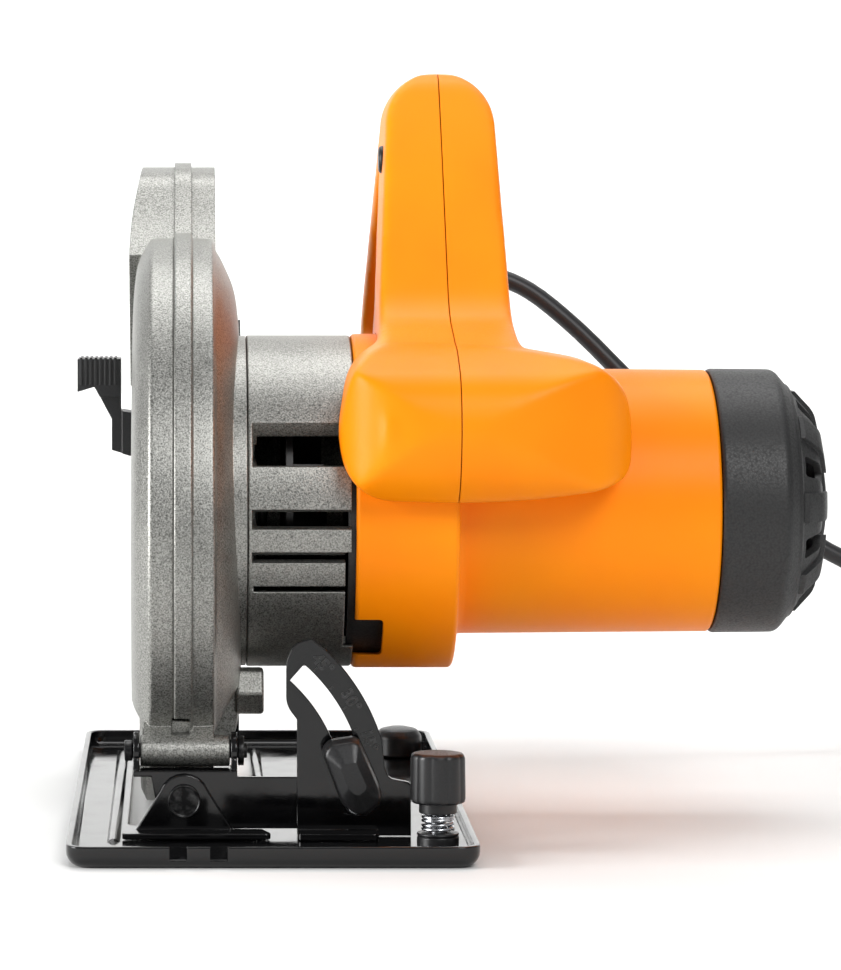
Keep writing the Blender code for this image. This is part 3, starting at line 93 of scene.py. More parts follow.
# The paper lies flat, turns up in a quarter circle of 1.1 m and hangs: (y, z) along it, carried straight across.
bend = np.linspace(0, np.pi / 2, 24)
paper_y = np.concatenate([[-5.0], 1.4 + 1.1 * np.sin(bend), [2.5]])
paper_z = np.concatenate([[0.0], 1.1 - 1.1 * np.cos(bend), [4.5]])
sheet_points = np.stack(np.broadcast_arrays(np.array([[-6.0], [6.0]]), paper_y, paper_z), axis=-1).reshape(-1, 3)
row = np.arange(len(paper_y) - 1)
sweep_mesh = bpy.data.meshes.new("studio_floor")
sweep_mesh.from_pydata(sheet_points.tolist(), [], np.stack([row, row + len(paper_y), row + len(paper_y) + 1, row + 1], 1).tolist())
sweep_mesh.shade_smooth()
studio_floor = bpy.data.objects.new("studio_floor", sweep_mesh)
bpy.context.scene.collection.objects.link(studio_floor)
paper = bpy.data.materials.new("white_seamless_paper")
paper.use_nodes = True
paper.node_tree.nodes["Principled BSDF"].inputs["Base Color"].default_value = linear("E9E9E8")
paper.node_tree.nodes["Principled BSDF"].inputs["Roughness"].default_value = 0.85
# From its back or from below it is clear, so that it never hides the saw.
paper_tree = paper.node_tree
side = paper_tree.nodes.new("ShaderNodeNewGeometry")
clear = paper_tree.nodes.new("ShaderNodeBsdfTransparent")
two_sided = paper_tree.nodes.new("ShaderNodeMixShader")
paper_tree.links.new(side.outputs["Backfacing"], two_sided.inputs[0])
paper_tree.links.new(paper_tree.nodes["Principled BSDF"].outputs[0], two_sided.inputs[1])
paper_tree.links.new(clear.outputs[0], two_sided.inputs[2])
paper_tree.links.new(two_sided.outputs[0], paper_tree.nodes["Material Output"].inputs["Surface"])
sweep_mesh.materials.append(paper)

bpy.context.scene.view_settings.view_transform = "Standard"
world = bpy.data.worlds.new("studio_air")
bpy.context.scene.world = world
world.use_nodes = True
world.node_tree.nodes["Background"].inputs["Color"].default_value = linear("F4F5F7")
world.node_tree.nodes["Background"].inputs["Strength"].default_value = 0.3

SOFT_BOXES = (
    # name, position, aimed at, width, height, watts
    ("side_soft_box", (-1.7, -0.55, 0.5), (-0.03, 0.0, 0.12), 0.9, 1.1, 40.0),
    ("front_soft_box", (0.8, -2.1, 1.6), (0.06, 0.0, 0.14), 1.0, 1.0, 34.0),
    ("top_soft_box", (0.1, 0.3, 1.9), (0.03, 0.0, 0.1), 1.4, 1.0, 12.0),
    ("backdrop_light", (0.1, 0.9, 1.9), (0.1, 2.3, 0.5), 3.0, 0.6, 50.0),
)
for name, place, aim, width, height, watts in SOFT_BOXES:
    light = bpy.data.lights.new(name, "AREA")
    light.shape = "RECTANGLE"
    light.size = width
    light.size_y = height
    light.energy = watts
    lamp = bpy.data.objects.new(name, light)
    bpy.context.scene.collection.objects.link(lamp)
    lamp.location = place
    lamp.rotation_euler = (Vector(aim) - Vector(place)).to_track_quat("-Z", "Y").to_euler()

# ---------------------------------------------------------------------------------------------------------------------
# The mains lead: 2 m of round rubber-sheathed flex, out of the moulded sleeve at the handle's heel, over in an arch
# and down behind the motor to the bench, where the rest of it is wound up. It ends in a moulded two-pin plug.
# ---------------------------------------------------------------------------------------------------------------------
LEAD_DIAMETER = 7.0
COIL_CENTRE = (352.0, 125.0)


def body_pivot(joint):
    """The (x, y, z) of a joint in millimetres."""
    found = [j for j in frame["joints"] if j["name"] == joint][0]
    return tuple(1000 * c for c in found["pos_m"])


def smooth_through(points, count):
    """A Catmull-Rom curve: between neighbours, a cubic whose slope at each point is half the step from its last
    neighbour to its next one. count points are worked out to each stretch."""
    p = np.array(points, float)
    p = np.vstack([2 * p[0] - p[1], p, 2 * p[-1] - p[-2]])
    t = np.arange(count)[None, :, None] / count
    a, b, c, d = (p[i:len(p) - 3 + i, None, :] for i in range(4))
    curve = 0.5 * (2 * b + (c - a) * t + (2 * a - 5 * b + 4 * c - d) * t**2 + (3 * b - a - 3 * c + d) * t**3)
    return np.vstack([curve.reshape(-1, 3), p[-2:-1]])


def lead_curve(name, points, radius):
    """A round bevelled curve along the points."""
    data = bpy.data.curves.new(name, "CURVE")
    data.dimensions = "3D"
    data.bevel_depth = radius / 1000
    data.bevel_resolution = 6
    data.use_fill_caps = True
    spline = data.splines.new("POLY")
    spline.points.add(len(points) - 1)
    homogeneous = np.hstack([np.asarray(points) / 1000, np.ones((len(points), 1))])
    spline.points.foreach_set("co", homogeneous.astype(np.float32).ravel())
    piece = bpy.data.objects.new(name, data)
    bpy.context.scene.collection.objects.link(piece)
    return piece


motor = body_pivot("armature_spin")[1:]
seam_x = body_pivot("trigger_press")[0]
sleeve_way = np.array((0.0, 0.95, 0.312)) / np.linalg.norm((0.0, 0.95, 0.312))
sleeve_root = np.array((seam_x, motor[0] + 118.5, motor[1] + 59.2))
sleeve_tip = sleeve_root + sleeve_way * 32.0
upper_route = smooth_through([tuple(sleeve_tip + sleeve_way * 0.4), (63.8, 139.6, 180.6), (65.6, 149.5, 183.6),
                              (70.4, 159.0, 185.9), (78.0, 166.0, 186.5), (78.9, 166.62, 186.5)], 6)
COIL_TURNS = 6.5
coil_angle = np.linspace(0, 2 * np.pi * COIL_TURNS, 160)
turn = coil_angle / (2 * np.pi)
PITCH, OUTER, INNER = 7.05, 45.5, 28.0
coil_radius = np.interp(turn, (0, 2.48, 2.68, 5.16, 5.36, 6.5), (OUTER, INNER, INNER, OUTER, OUTER, OUTER - 1.14 * PITCH))
coil_height = np.interp(turn, (0, 2.48, 2.68, 5.16, 5.36, 6.5), (3.55, 3.55, 10.4, 10.4, 17.25, 17.25))
heading = np.pi / 2 - coil_angle
coil = np.stack([COIL_CENTRE[0] + coil_radius * np.cos(heading), COIL_CENTRE[1] + coil_radius * np.sin(heading),
                 coil_height], axis=1)
down = smooth_through([(78.94, 166.65, 186.5), (79.8, 167.2, 186.5), (89.0, 170.3, 184.9), (101.0, 171.0, 181.3), (112.4, 171.0, 174.8),
                       (128.2, 170.0, 161.4), (144.1, 168.0, 145.4), (164.0, 165.0, 125.0), (185.0, 162.5, 105.0),
                       (205.0, 160.6, 88.6), (221.5, 160.0, 77.4), (231.0, 160.0, 72.2), (252.0, 160.5, 61.0),
                       (272.0, 162.0, 49.5), (291.0, 164.5, 37.2), (307.0, 167.2, 26.0), (321.5, 169.6, 16.2),
                       (336.0, 171.0, 7.4), tuple(coil[0])], 3)
to_plug = smooth_through([tuple(coil[-2]), tuple(coil[-1]), (338.0, 85.6, 17.0), (326.0, 83.2, 15.0), (316.0, 81.0, 12.2),
                          (305.5, 79.5, 10.6)], 4)
lower_route = np.vstack([down, coil[1:-2], to_plug])

lead_sheath = bpy.data.materials.new("rubber_lead_sheath")
lead_sheath.use_nodes = True
tree = lead_sheath.node_tree
# Extruded rubber: almost black with a soft satin sheen and a faint waviness along it.
shader = tree.nodes["Principled BSDF"]
shader.inputs["Base Color"].default_value = linear("1B1B1D")
shader.inputs["Roughness"].default_value = 0.42
place = add_node(tree, "ShaderNodeTexCoord")
waviness = add_node(tree, "ShaderNodeTexNoise", values={"Scale": 900.0, "Detail": 3.0}, links={"Vector": (place, "Object")})
bumps = add_node(tree, "ShaderNodeBump", values={"Strength": 0.08, "Distance": 0.0002}, links={"Height": (waviness, "Fac")})
tree.links.new(bumps.outputs["Normal"], shader.inputs["Normal"])

mains_lead_upper = lead_curve("mains_lead_upper", upper_route, LEAD_DIAMETER / 2)
mains_lead = lead_curve("mains_lead", lower_route, LEAD_DIAMETER / 2)
for piece, body, node in ((mains_lead_upper, "saw", ["cord_upper"]), (mains_lead, "base", ["cord_lower", "cord_coil"])):
    piece.data.materials.append(lead_sheath)
    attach(piece, body)
    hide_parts(*node)

# ---------------------------------------------------------------------------------------------------------------------
# The upper guard: one aluminium die casting, shot-blasted grey. Its rim covers the blade and has a raised band, its
# inner flank is dished and carries the housings, a dust chute stands on its rear, and a barrel low in front turns on
# the depth hinge pin. Edges come rounded out of the die.
# ---------------------------------------------------------------------------------------------------------------------
ORDER = {"X": (0, 1, 2), "Y": (1, 0, 2), "Z": (1, 2, 0)}


def placed(axis, along, first, second):
    """Points from one coordinate along an axis and two across it: (y, z) across X, (x, z) across Y, (x, y) across Z."""
    values = np.broadcast_arrays(along, first, second)
    return np.stack([values[i] for i in ORDER[axis]], axis=-1)


def closed_surface(name, grid, ring=False):
    """The surface through a grid of points, in which point (i, j) meets (i + 1, j) and (i, j + 1) and each row closes
    on itself. The first and last rows are filled in, or on a ring they meet each other."""
    rows, columns = grid.shape[:2]
    index = np.arange(rows * columns).reshape(rows, columns)
    near = index if ring else index[:-1]
    far = np.roll(index, -1, axis=0) if ring else index[1:]
    faces = np.stack([near, np.roll(near, -1, 1), np.roll(far, -1, 1), far], axis=-1).reshape(-1, 4).tolist()
    if not ring:
        faces += [index[0, ::-1].tolist(), index[-1].tolist()]
    mesh = bpy.data.meshes.new(name)
    mesh.from_pydata((grid.reshape(-1, 3) / 1000).tolist(), [], faces)
    shape = bmesh.new()
    shape.from_mesh(mesh)
    bmesh.ops.recalc_face_normals(shape, faces=shape.faces)
    shape.to_mesh(mesh)
    shape.free()
    piece = bpy.data.objects.new(name, mesh)
    bpy.context.scene.collection.objects.link(piece)
    return piece


def rounded(corners, steps=6, loop=True):
    """An outline from (first, second, reach) corners. A corner c becomes the curve (1-t)^2 p + 2t(1-t) c + t^2 q, where
    p and q stand at its reach along the straight lines before and after it, or just short of half of the line."""
    values = np.array(corners, float)
    c = values[:, :2]
    before = np.roll(c, 1, 0) - c
    after = np.roll(c, -1, 0) - c
    room = np.minimum(np.linalg.norm(before, axis=1), np.linalg.norm(after, axis=1))
    reach = np.minimum(values[:, 2], 0.48 * room)[:, None]
    if not loop:
        reach[[0, -1]] = 0
    p = c + before / np.linalg.norm(before, axis=1, keepdims=True) * reach
    q = c + after / np.linalg.norm(after, axis=1, keepdims=True) * reach
    t = np.linspace(0, 1, steps + 1)[None, :, None]
    curve = ((1 - t)**2 * p[:, None] + 2 * t * (1 - t) * c[:, None] + t**2 * q[:, None]).reshape(-1, 2)
    return curve[np.linalg.norm(curve - np.roll(curve, 1, 0), axis=1) > 1e-3]


def turned(name, profile, axis, centre, steps=96, ring=False):
    """A surface of revolution: the profile's (along, radius) point i at angle a is along_i on the axis and
    centre + radius_i (cos a, sin a) across it. Points on the axis are left out, and the end is filled in flat."""
    rows = np.array(profile, float)[:, :2]
    rows = rows if ring else rows[rows[:, 1] > 1e-4]
    angle = np.linspace(0, 2 * np.pi, steps, endpoint=False)
    along, radius = rows[:, :1], rows[:, 1:]
    return closed_surface(name, placed(axis, along, centre[0] + radius * np.cos(angle),
                                       centre[1] + radius * np.sin(angle)), ring)


def straight(name, outline, axis, low, high):
    """A bar: its outline's point j stands at low and at high along the axis."""
    first, second = np.array(outline, float)[:, :2].T
    return closed_surface(name, placed(axis, np.array([[low], [high]]), first[None], second[None]))


def block(name, low, high):
    (x0, y0, z0), (x1, y1, z1) = low, high
    return straight(name, [(y0, z0), (y1, z0), (y1, z1), (y0, z1)], "X", x0, x1)


def round_bar(name, axis, centre, radius, low, high, steps=48):
    return turned(name, [(low, radius), (high, radius)], axis, centre, steps)


def polar(centre, radius, degrees):
    """(first, second) at a radius and at angles round a centre."""
    angle = np.radians(degrees)
    return np.stack([centre[0] + radius * np.cos(angle), centre[1] + radius * np.sin(angle)], axis=-1)


def baked(piece):
    """Turns the piece's modifiers into its mesh."""
    bpy.context.view_layer.update()
    mesh = bpy.data.meshes.new_from_object(piece.evaluated_get(bpy.context.evaluated_depsgraph_get()))
    piece.modifiers.clear()
    piece.data = mesh
    return piece


def shaped(piece, operation, *tools):
    """Cuts the tools from the piece, adds them or keeps what they share, and uses them up."""
    for tool in tools:
        step = piece.modifiers.new("step", "BOOLEAN")
        step.operation = operation
        step.object = tool
    baked(piece)
    for tool in tools:
        bpy.data.objects.remove(tool)
    return piece


def edged(piece, width, segments=3, limit=30.0):
    """Rounds every edge that turns by more than the limit, to this width."""
    bevel = piece.modifiers.new("rounded_edges", "BEVEL")
    bevel.width = width / 1000
    bevel.segments = segments
    bevel.limit_method = "ANGLE"
    bevel.angle_limit = math.radians(limit)
    return baked(piece)


def finished(piece, body, nodes, finish, sharp=38.0):
    """Smooth shading up to the sharp angle with flat faces kept flat, then the material, the body and the place."""
    piece.data.shade_smooth()
    piece.data.set_sharp_from_angle(angle=math.radians(sharp))
    weighted = piece.modifiers.new("flat_faces", "WEIGHTED_NORMAL")
    weighted.keep_sharp = True
    baked(piece)
    piece.data.materials.clear()
    piece.data.materials.append(finish)
    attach(piece, body)
    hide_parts(*nodes)
    return piece


def finish_of(name, colour, roughness, metallic=0.0):
    """A new Principled material: the material, its node tree and its shader."""
    made = bpy.data.materials.new(name)
    made.use_nodes = True
    shader = made.node_tree.nodes["Principled BSDF"]
    shader.inputs["Base Color"].default_value = linear(colour)
    shader.inputs["Roughness"].default_value = roughness
    shader.inputs["Metallic"].default_value = metallic
    return made, made.node_tree, shader


def mixed_by(tree, shader, source, low, high, dark, light, place, into="Base Color"):
    """Two colours, or two greys, mixed by a pattern's value between low and high, into one input of the shader."""
    ramp = add_node(tree, "ShaderNodeValToRGB", links={"Fac": (source, place)})
    ramp.color_ramp.elements[0].position = low
    ramp.color_ramp.elements[1].position = high
    ramp.color_ramp.elements[0].color = dark
    ramp.color_ramp.elements[1].color = light
    tree.links.new(ramp.outputs["Color"], shader.inputs[into])
    return ramp


# Die-cast aluminium, shot-blasted: pale grey and dull, sparkling in grains. The real grit is 0.3 mm; it is drawn
# at 0.55 mm, so that it shows, over soft clouds a few centimetres wide and a slightly pitted skin.
cast_aluminium, tree, shader = finish_of("shot_blasted_cast_aluminium", "94948F", 0.42, 0.9)
where = add_node(tree, "ShaderNodeTexCoord")
grit = add_node(tree, "ShaderNodeTexNoise", values={"Scale": 1 / 0.00055, "Detail": 2.0, "Roughness": 0.6},
                links={"Vector": (where, "Object")})
clouds = add_node(tree, "ShaderNodeTexNoise", values={"Scale": 1 / 0.03, "Detail": 3.0}, links={"Vector": (where, "Object")})
together = add_node(tree, "ShaderNodeMath", {"operation": "MULTIPLY_ADD"}, {1: 0.12}, {0: (clouds, "Fac"), 2: (grit, "Fac")})
mixed_by(tree, shader, together, 0.36, 0.74, linear("5F5F5C"), linear("B4B4AF"), "Value")
mixed_by(tree, shader, grit, 0.35, 0.7, (0.34, 0.34, 0.34, 1), (0.52, 0.52, 0.52, 1), "Fac", "Roughness")
pits = add_node(tree, "ShaderNodeBump", values={"Strength": 0.35, "Distance": 0.0002}, links={"Height": (grit, "Fac")})
soft_edges = add_node(tree, "ShaderNodeBevel", {"samples": 6}, {"Radius": 0.0007})
tree.links.new(soft_edges.outputs["Normal"], pits.inputs["Normal"])
tree.links.new(pits.outputs["Normal"], shader.inputs["Normal"])

hinge = np.array(body_pivot("depth_swing")[1:])
arbor = np.array(body_pivot("spindle_spin")[1:])
motor = np.array(body_pivot("armature_spin")[1:])
blade_x = 500 * sum(corner[0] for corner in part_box("blade"))
guard_right = blade_x + 12.3
guard_left = blade_x - 16.1
dish_right = blade_x + 21.4
mount_face = blade_x + 23.1
RIM = 102.0
WALL = 2.0
rim_profile = rounded([
    (guard_left, 0, 0), (guard_left, 82, 8), (guard_left + 1.6, 94, 6), (guard_left + 6.4, RIM, 1.2),
    (blade_x - 1.9, RIM, 0.3), (blade_x - 1.7, RIM - 0.8, 0.3), (blade_x - 1.4, RIM + 1.9, 0.6),
    (blade_x + 4.4, RIM + 1.9, 0.6), (blade_x + 4.9, RIM, 0.3), (guard_right - 0.4, RIM - 0.2, 1.0),
    (guard_right + 0.2, RIM - 3.2, 1.5), (dish_right - 6.4, RIM - 7.5, 4), (dish_right - 1.6, RIM - 18, 6),
    (dish_right, RIM - 32, 8), (dish_right, 0, 0)], 5, loop=False)
guard = turned("upper_guard_casting", rim_profile, "X", arbor, 160)

chute_side = rounded([(arbor[0] + 3, arbor[1] + 96, 0), (arbor[0] + 16, arbor[1] + 107, 7), (arbor[0] + 34, arbor[1] + 124.5, 7),
                      (arbor[0] + 50, arbor[1] + 127.8, 4), (arbor[0] + 62, arbor[1] + 127.6, 3), (arbor[0] + 95, arbor[1] + 93, 0),
                      (arbor[0] + 76, arbor[1] + 76, 0), (arbor[0] + 45, arbor[1] + 45, 0)])
chute_front = rounded([(guard_left - 1.7, arbor[1] + 20, 0), (guard_left - 1.7, arbor[1] + 98, 8),
                       (guard_left - 0.9, arbor[1] + 110, 6), (guard_left + 2.8, arbor[1] + 129, 2.5),
                       (guard_right + 0.8, arbor[1] + 129, 1.5), (guard_right + 0.8, arbor[1] + 20, 0)])
chute = shaped(straight("chute", chute_side, "X", guard_left - 4, guard_right + 4), "INTERSECT",
               straight("chute_front", chute_front, "Y", arbor[0] - 20, arbor[0] + 110))
edged(chute, 2.2, 4)
chute_band = straight("chute_band", chute_side + (-1.1, 1.6), "X", blade_x - 1.6, blade_x + 4.6)
low_corners = [straight("low_corner", outline, "Y", hinge[0] - 36, hinge[0] + 30) for outline in (
    [(guard_left - 4, hinge[1] + 15.2), (guard_left - 0.2, hinge[1] + 14.8), (guard_left + 2.8, hinge[1] + 10.2),
     (guard_left + 4.6, hinge[1] + 5), (guard_left + 4.6, 0), (guard_left - 4, 0)],
    [(mount_face + 2, hinge[1] + 20), (dish_right - 1.2, hinge[1] + 19), (dish_right - 5, hinge[1] + 13.4),
     (guard_right - 0.4, hinge[1] + 5), (guard_right - 0.4, 0), (mount_face + 2, 0)])]
shaped(guard, "UNION", chute, chute_band, round_bar("mount", "X", motor, 57.3, guard_right - 1, mount_face, 96))
shaped(guard, "DIFFERENCE", *low_corners)

BARREL = 5.2
slope = math.degrees(math.atan2(*(arbor - hinge)[::-1]))
along = polar((0, 0), 1.0, slope)
lug = hinge + np.outer((0, 13, 13, 0), along) + np.outer((-BARREL, -BARREL, BARREL, BARREL), (-along[1], along[0]))
stop_bolt = polar(hinge, 200.0, 37.0)
hex_boss = polar((arbor[0] - 53, arbor[1] - 52.5), 8.8, np.arange(6) * 60.0)
shaped(guard, "UNION",
       straight("lug", lug, "X", blade_x - 11.7, guard_right - 0.5),
       turned("barrel", rounded([(blade_x - 12.8, 0, 0), (blade_x - 12.8, BARREL, 0.7), (blade_x + 17.2, BARREL, 0.7),
                                 (blade_x + 17.2, 0, 0)], 3, False), "X", hinge, 48),
       round_bar("stop_boss", "X", stop_bolt, 6.5, guard_right - 1, mount_face - 2.6),
       edged(straight("side_boss", hex_boss, "X", dish_right - 2, dish_right + 7.7), 1.2))
cavity = [(guard_left + WALL, 0), (guard_left + WALL, RIM - 10.5), (guard_left + WALL + 3.5, RIM - 3.4), (guard_right - 5, RIM - 3),
          (guard_right - WALL, RIM - 6), (guard_right - WALL, 19.5), (blade_x + 4.4, 19.5), (blade_x + 4.4, 0)]
chute_mouth = arbor + ((12, 88), (32, 115), (55, 124), (66, 138), (112, 88), (70, 62))
far = 300.0
mouth = straight("mouth", np.vstack([arbor, polar(arbor, far, np.array((226.5, 270, 330, 408)))]), "X", guard_left - 3,
                 guard_right - WALL - 0.05)
shaped(mouth, "DIFFERENCE", round_bar("hub_space", "X", arbor, 20.0, blade_x + 4.2, guard_right + 1))
# Behind the mouth the flank's edge is turned down, so that it clears the rear bracket at full depth.
rim_relief = straight("rim_relief", np.vstack([arbor, polar(arbor, far, np.array((300, 350, 408)))]), "X",
                      guard_right - WALL - 0.1, guard_right + 1.5)
shaped(rim_relief, "DIFFERENCE", round_bar("skirt", "X", arbor, 98.4, guard_right - 4, guard_right + 3, 160))
tilted = polar((0, 0), 1.0, 40.0)
below = arbor + np.outer((-far, -42, -34, far, far, -far), tilted) + np.outer((19, 19, 27.6, 27.6, far, far), (tilted[1], -tilted[0]))
shaped(guard, "DIFFERENCE",
       turned("cavity", cavity, "X", arbor, 128),
       straight("chute_mouth", chute_mouth, "X", guard_left + WALL, guard_right - WALL),
       round_bar("arbor_opening", "X", arbor, RIM - 47, guard_left - 3, guard_left + WALL + 1, 96),
       mouth, rim_relief,
       straight("below", below, "X", guard_right - WALL - 1, mount_face + 9),
       round_bar("spindle_bore", "X", arbor, 8.5, blade_x, mount_face + 1),
       round_bar("bearing_seat", "X", arbor, 16.1, blade_x, guard_right),
       round_bar("gear_pocket", "X", arbor, 26.5, guard_right + 1.6, mount_face + 1),
       round_bar("pinion_pocket", "X", motor, 8.2, guard_right + 1.6, mount_face + 1),
       round_bar("hinge_bore", "X", hinge, 2.8, guard_left, mount_face),
       round_bar("stop_bore", "X", stop_bolt, 3.3, guard_right + 1, mount_face),
       round_bar("lock_bore", "X", (arbor[0] + 38, arbor[1] + 20), 5.8, dish_right - 6.5, mount_face + 1),
       block("lug_notch", (blade_x - 2.2, hinge[0] - 14, hinge[1] + 5.5), (blade_x + 3.8, hinge[0] + 4, hinge[1] + 11)))
finished(guard, "saw", ["upper_guard"], cast_aluminium, 30.0)

# ---------------------------------------------------------------------------------------------------------------------
# The gear housing: a second casting bolted to the guard's flank. Cooling air leaves through the louvres in its front,
# where the wall steps in under a sloping brow and long ribs stand between the slots.
# ---------------------------------------------------------------------------------------------------------------------
UNDERSIDE = 49.0
gear_left = mount_face + 0.3
gear_right = 1000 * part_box("gear_housing")[1][0]


def flattened_drum(name, radius, flat, low, high, steps=120, lip=0.0):
    """A drum whose outline is the circle of this radius round the motor axis, cut straight at the distance flat on the
    side that faces the sole when the body is down. lip shrinks both ends by that much in a quarter round."""
    half = math.degrees(math.acos(min(1.0, flat / radius)))
    angles = np.linspace(-50 + half, 310 - half, steps)
    share = np.sin(np.linspace(0, np.pi / 2, 5))
    ends = 1 - np.cos(np.linspace(0, np.pi / 2, 5))
    along = np.concatenate([low + lip * ends, high - lip * ends[::-1]]) if lip else np.array([low, high])
    shrink = np.concatenate([lip * (1 - share), (lip * (1 - share))[::-1]]) if lip else np.zeros(2)
    outline = polar((0, 0), 1.0, angles) * radius
    scale = (radius - shrink) / radius
    grid = placed("X", along[:, None], motor[0] + scale[:, None] * outline[None, :, 0],
                  motor[1] + scale[:, None] * outline[None, :, 1])
    return closed_surface(name, grid)


gear_case = flattened_drum("gear_case_casting", 57.5, UNDERSIDE, gear_left, gear_right, lip=0.6)
front_y, axis_z = motor[0] - 62, motor[1]
recess = rounded([(front_y, axis_z + 34.0, 0), (motor[0] - 50.6, axis_z + 31.6, 2), (motor[0] - 42.5, axis_z + 21.6, 2),
                  (motor[0] - 42.5, axis_z + 15.2, 1.5), (front_y, axis_z + 15.2, 0)], 5)
step_in = straight("step_in", recess, "X", gear_left + 1.4, gear_right + 0.6)
slots = [straight("slot", rounded([(motor[0] - 70, axis_z + low, 0), (motor[0] - 12, axis_z + low, 0),
                                   (motor[0] - 12, axis_z + high, 0), (motor[0] - 70, axis_z + high, 0)], 2), "X",
                  gear_left + 1.8, gear_right - 1.6)
         for low, high in ((15.6, 22.0), (-5.0, 0.2), (-16.3, -14.6), (-27.2, -25.2))]
valleys = [straight("valley", rounded([(motor[0] - 66, axis_z + low - lip, 0), (motor[0] - 66, axis_z + high + lip, 0),
                                       (motor[0] - 50.5, axis_z + (low + high) / 2 + 0.4, 0.3),
                                       (motor[0] - 50.5, axis_z + (low + high) / 2 - 0.4, 0.3)], 3), "X",
                    gear_left + 1.2, gear_right - 0.6)
           for low, high, lip in ((-5.0, 0.2, 4.6), (-16.3, -14.6, 4.2), (-27.2, -25.2, 3.8))]
shaped(gear_case, "DIFFERENCE", step_in,
       flattened_drum("inside", 51.5, UNDERSIDE - 6.0, gear_left + 3, gear_right + 1), *slots, *valleys,
       block("side_gap", (gear_right - 1.4, motor[0] - 70, axis_z - 47.4), (gear_right + 1, motor[0] - 26, axis_z + 17)),
       block("lower_gap", (gear_right - 3.4, motor[0] - 70, axis_z - 47.4), (gear_right + 1, motor[0] - 26, axis_z - 13.4)))
shaped(gear_case, "DIFFERENCE", round_bar("wall_bore", "X", motor, 11.0, gear_left - 1, gear_left + 4),
       round_bar("wall_bush", "X", arbor, 8.0, gear_left - 1, gear_left + 4))
finished(gear_case, "saw", ["gear_housing"], cast_aluminium, 30.0)

# ---------------------------------------------------------------------------------------------------------------------
# The motor housing: orange ABS, injection moulded in one piece, spark-eroded satin. A wide flange clamps against the
# gear housing, with a rounded black-edged opening low in front, and the drum holds the stator.
# ---------------------------------------------------------------------------------------------------------------------
# Satin ABS: one even orange with a soft, broad highlight. The spark-eroded skin is 0.2 mm grain, drawn at 0.5 mm.
orange_abs, tree, shader = finish_of("satin_orange_abs", "FF9400", 0.42)
shader.inputs["Specular IOR Level"].default_value = 0.18
where = add_node(tree, "ShaderNodeTexCoord")
tone = add_node(tree, "ShaderNodeTexNoise", values={"Scale": 1 / 0.045, "Detail": 2.0}, links={"Vector": (where, "Object")})
mixed_by(tree, shader, tone, 0.3, 0.7, linear("FB8700"), linear("FC9000"), "Fac")
grain = add_node(tree, "ShaderNodeTexNoise", values={"Scale": 1 / 0.0005, "Detail": 1.0}, links={"Vector": (where, "Object")})
mixed_by(tree, shader, grain, 0.3, 0.7, (0.36, 0.36, 0.36, 1), (0.46, 0.46, 0.46, 1), "Fac", "Roughness")
skin = add_node(tree, "ShaderNodeBump", values={"Strength": 0.06, "Distance": 0.0001}, links={"Height": (grain, "Fac")})
soft_edges = add_node(tree, "ShaderNodeBevel", {"samples": 4}, {"Radius": 0.0006})
tree.links.new(soft_edges.outputs["Normal"], skin.inputs["Normal"])
tree.links.new(skin.outputs["Normal"], shader.inputs["Normal"])

flange_left = 1000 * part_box("motor_housing")[0][0]
drum_right = 1000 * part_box("motor_housing")[1][0]
drum_left = flange_left + 34.8
motor_case = flattened_drum("motor_case_moulding", 58.0, UNDERSIDE, flange_left, drum_left, lip=1.6)
drum = turned("drum", rounded([(flange_left + 20, 0, 0), (flange_left + 20, 46.2, 0), (drum_left - 1, 46.2, 0),
                               (drum_right - 0.8, 45.5, 0.5), (drum_right, 44.6, 0.5), (drum_right, 0, 0)], 4, False),
              "X", motor, 160)
fillet = turned("fillet", [(drum_left - 6, 40), (drum_left - 6, 50.4), (drum_left - 1.0, 50.4), (drum_left - 0.3, 48.4),
                           (drum_left + 0.6, 47.1), (drum_left + 2, 46.35), (drum_left + 4, 46.1), (drum_left + 4, 40)],
                "X", motor, 160, ring=True)
shaped(motor_case, "UNION", drum, fillet)
opening = rounded([(flange_left - 1, axis_z - 50.8, 0), (flange_left + 9.6, axis_z - 50.8, 1.6),
                   (flange_left + 9.6, axis_z - 37.2, 1.6), (flange_left - 1, axis_z - 37.2, 0)], 5)
shaped(motor_case, "DIFFERENCE",
       flattened_drum("flange_inside", 55.0, UNDERSIDE - 3.0, flange_left - 1, drum_left - 3),
       turned("drum_inside", [(flange_left + 10, 43.2), (drum_right + 1, 42.4)], "X", motor, 120),
       straight("opening", opening, "Y", motor[0] - 70, motor[0] - 20),
       round_bar("bush_relief", "X", arbor, 12.0, flange_left - 1, flange_left + 2))
finished(motor_case, "saw", ["motor_housing"], orange_abs, 30.0)

# ---------------------------------------------------------------------------------------------------------------------
# The end cap: glass-filled black nylon, moulded, with eight air inlets round its cone and raised lugs between them.
# It closes the motor housing and holds the rear bearing.
# ---------------------------------------------------------------------------------------------------------------------
# Etched black nylon: charcoal, dull, with a fine leather-like grain. The real grain is 0.4 mm, drawn at 0.7 mm.
black_nylon, tree, shader = finish_of("etched_black_nylon", "1E1E1F", 0.5)
where = add_node(tree, "ShaderNodeTexCoord")
grain = add_node(tree, "ShaderNodeTexVoronoi", {"feature": "SMOOTH_F1"}, {"Scale": 1 / 0.0007}, {"Vector": (where, "Object")})
mixed_by(tree, shader, grain, 0.1, 0.8, linear("252525"), linear("161617"), "Distance")
mixed_by(tree, shader, grain, 0.1, 0.8, (0.42, 0.42, 0.42, 1), (0.6, 0.6, 0.6, 1), "Distance", "Roughness")
leather = add_node(tree, "ShaderNodeBump", values={"Strength": 0.3, "Distance": 0.00012}, links={"Height": (grain, "Distance")})
soft_edges = add_node(tree, "ShaderNodeBevel", {"samples": 6}, {"Radius": 0.0005})
tree.links.new(soft_edges.outputs["Normal"], leather.inputs["Normal"])
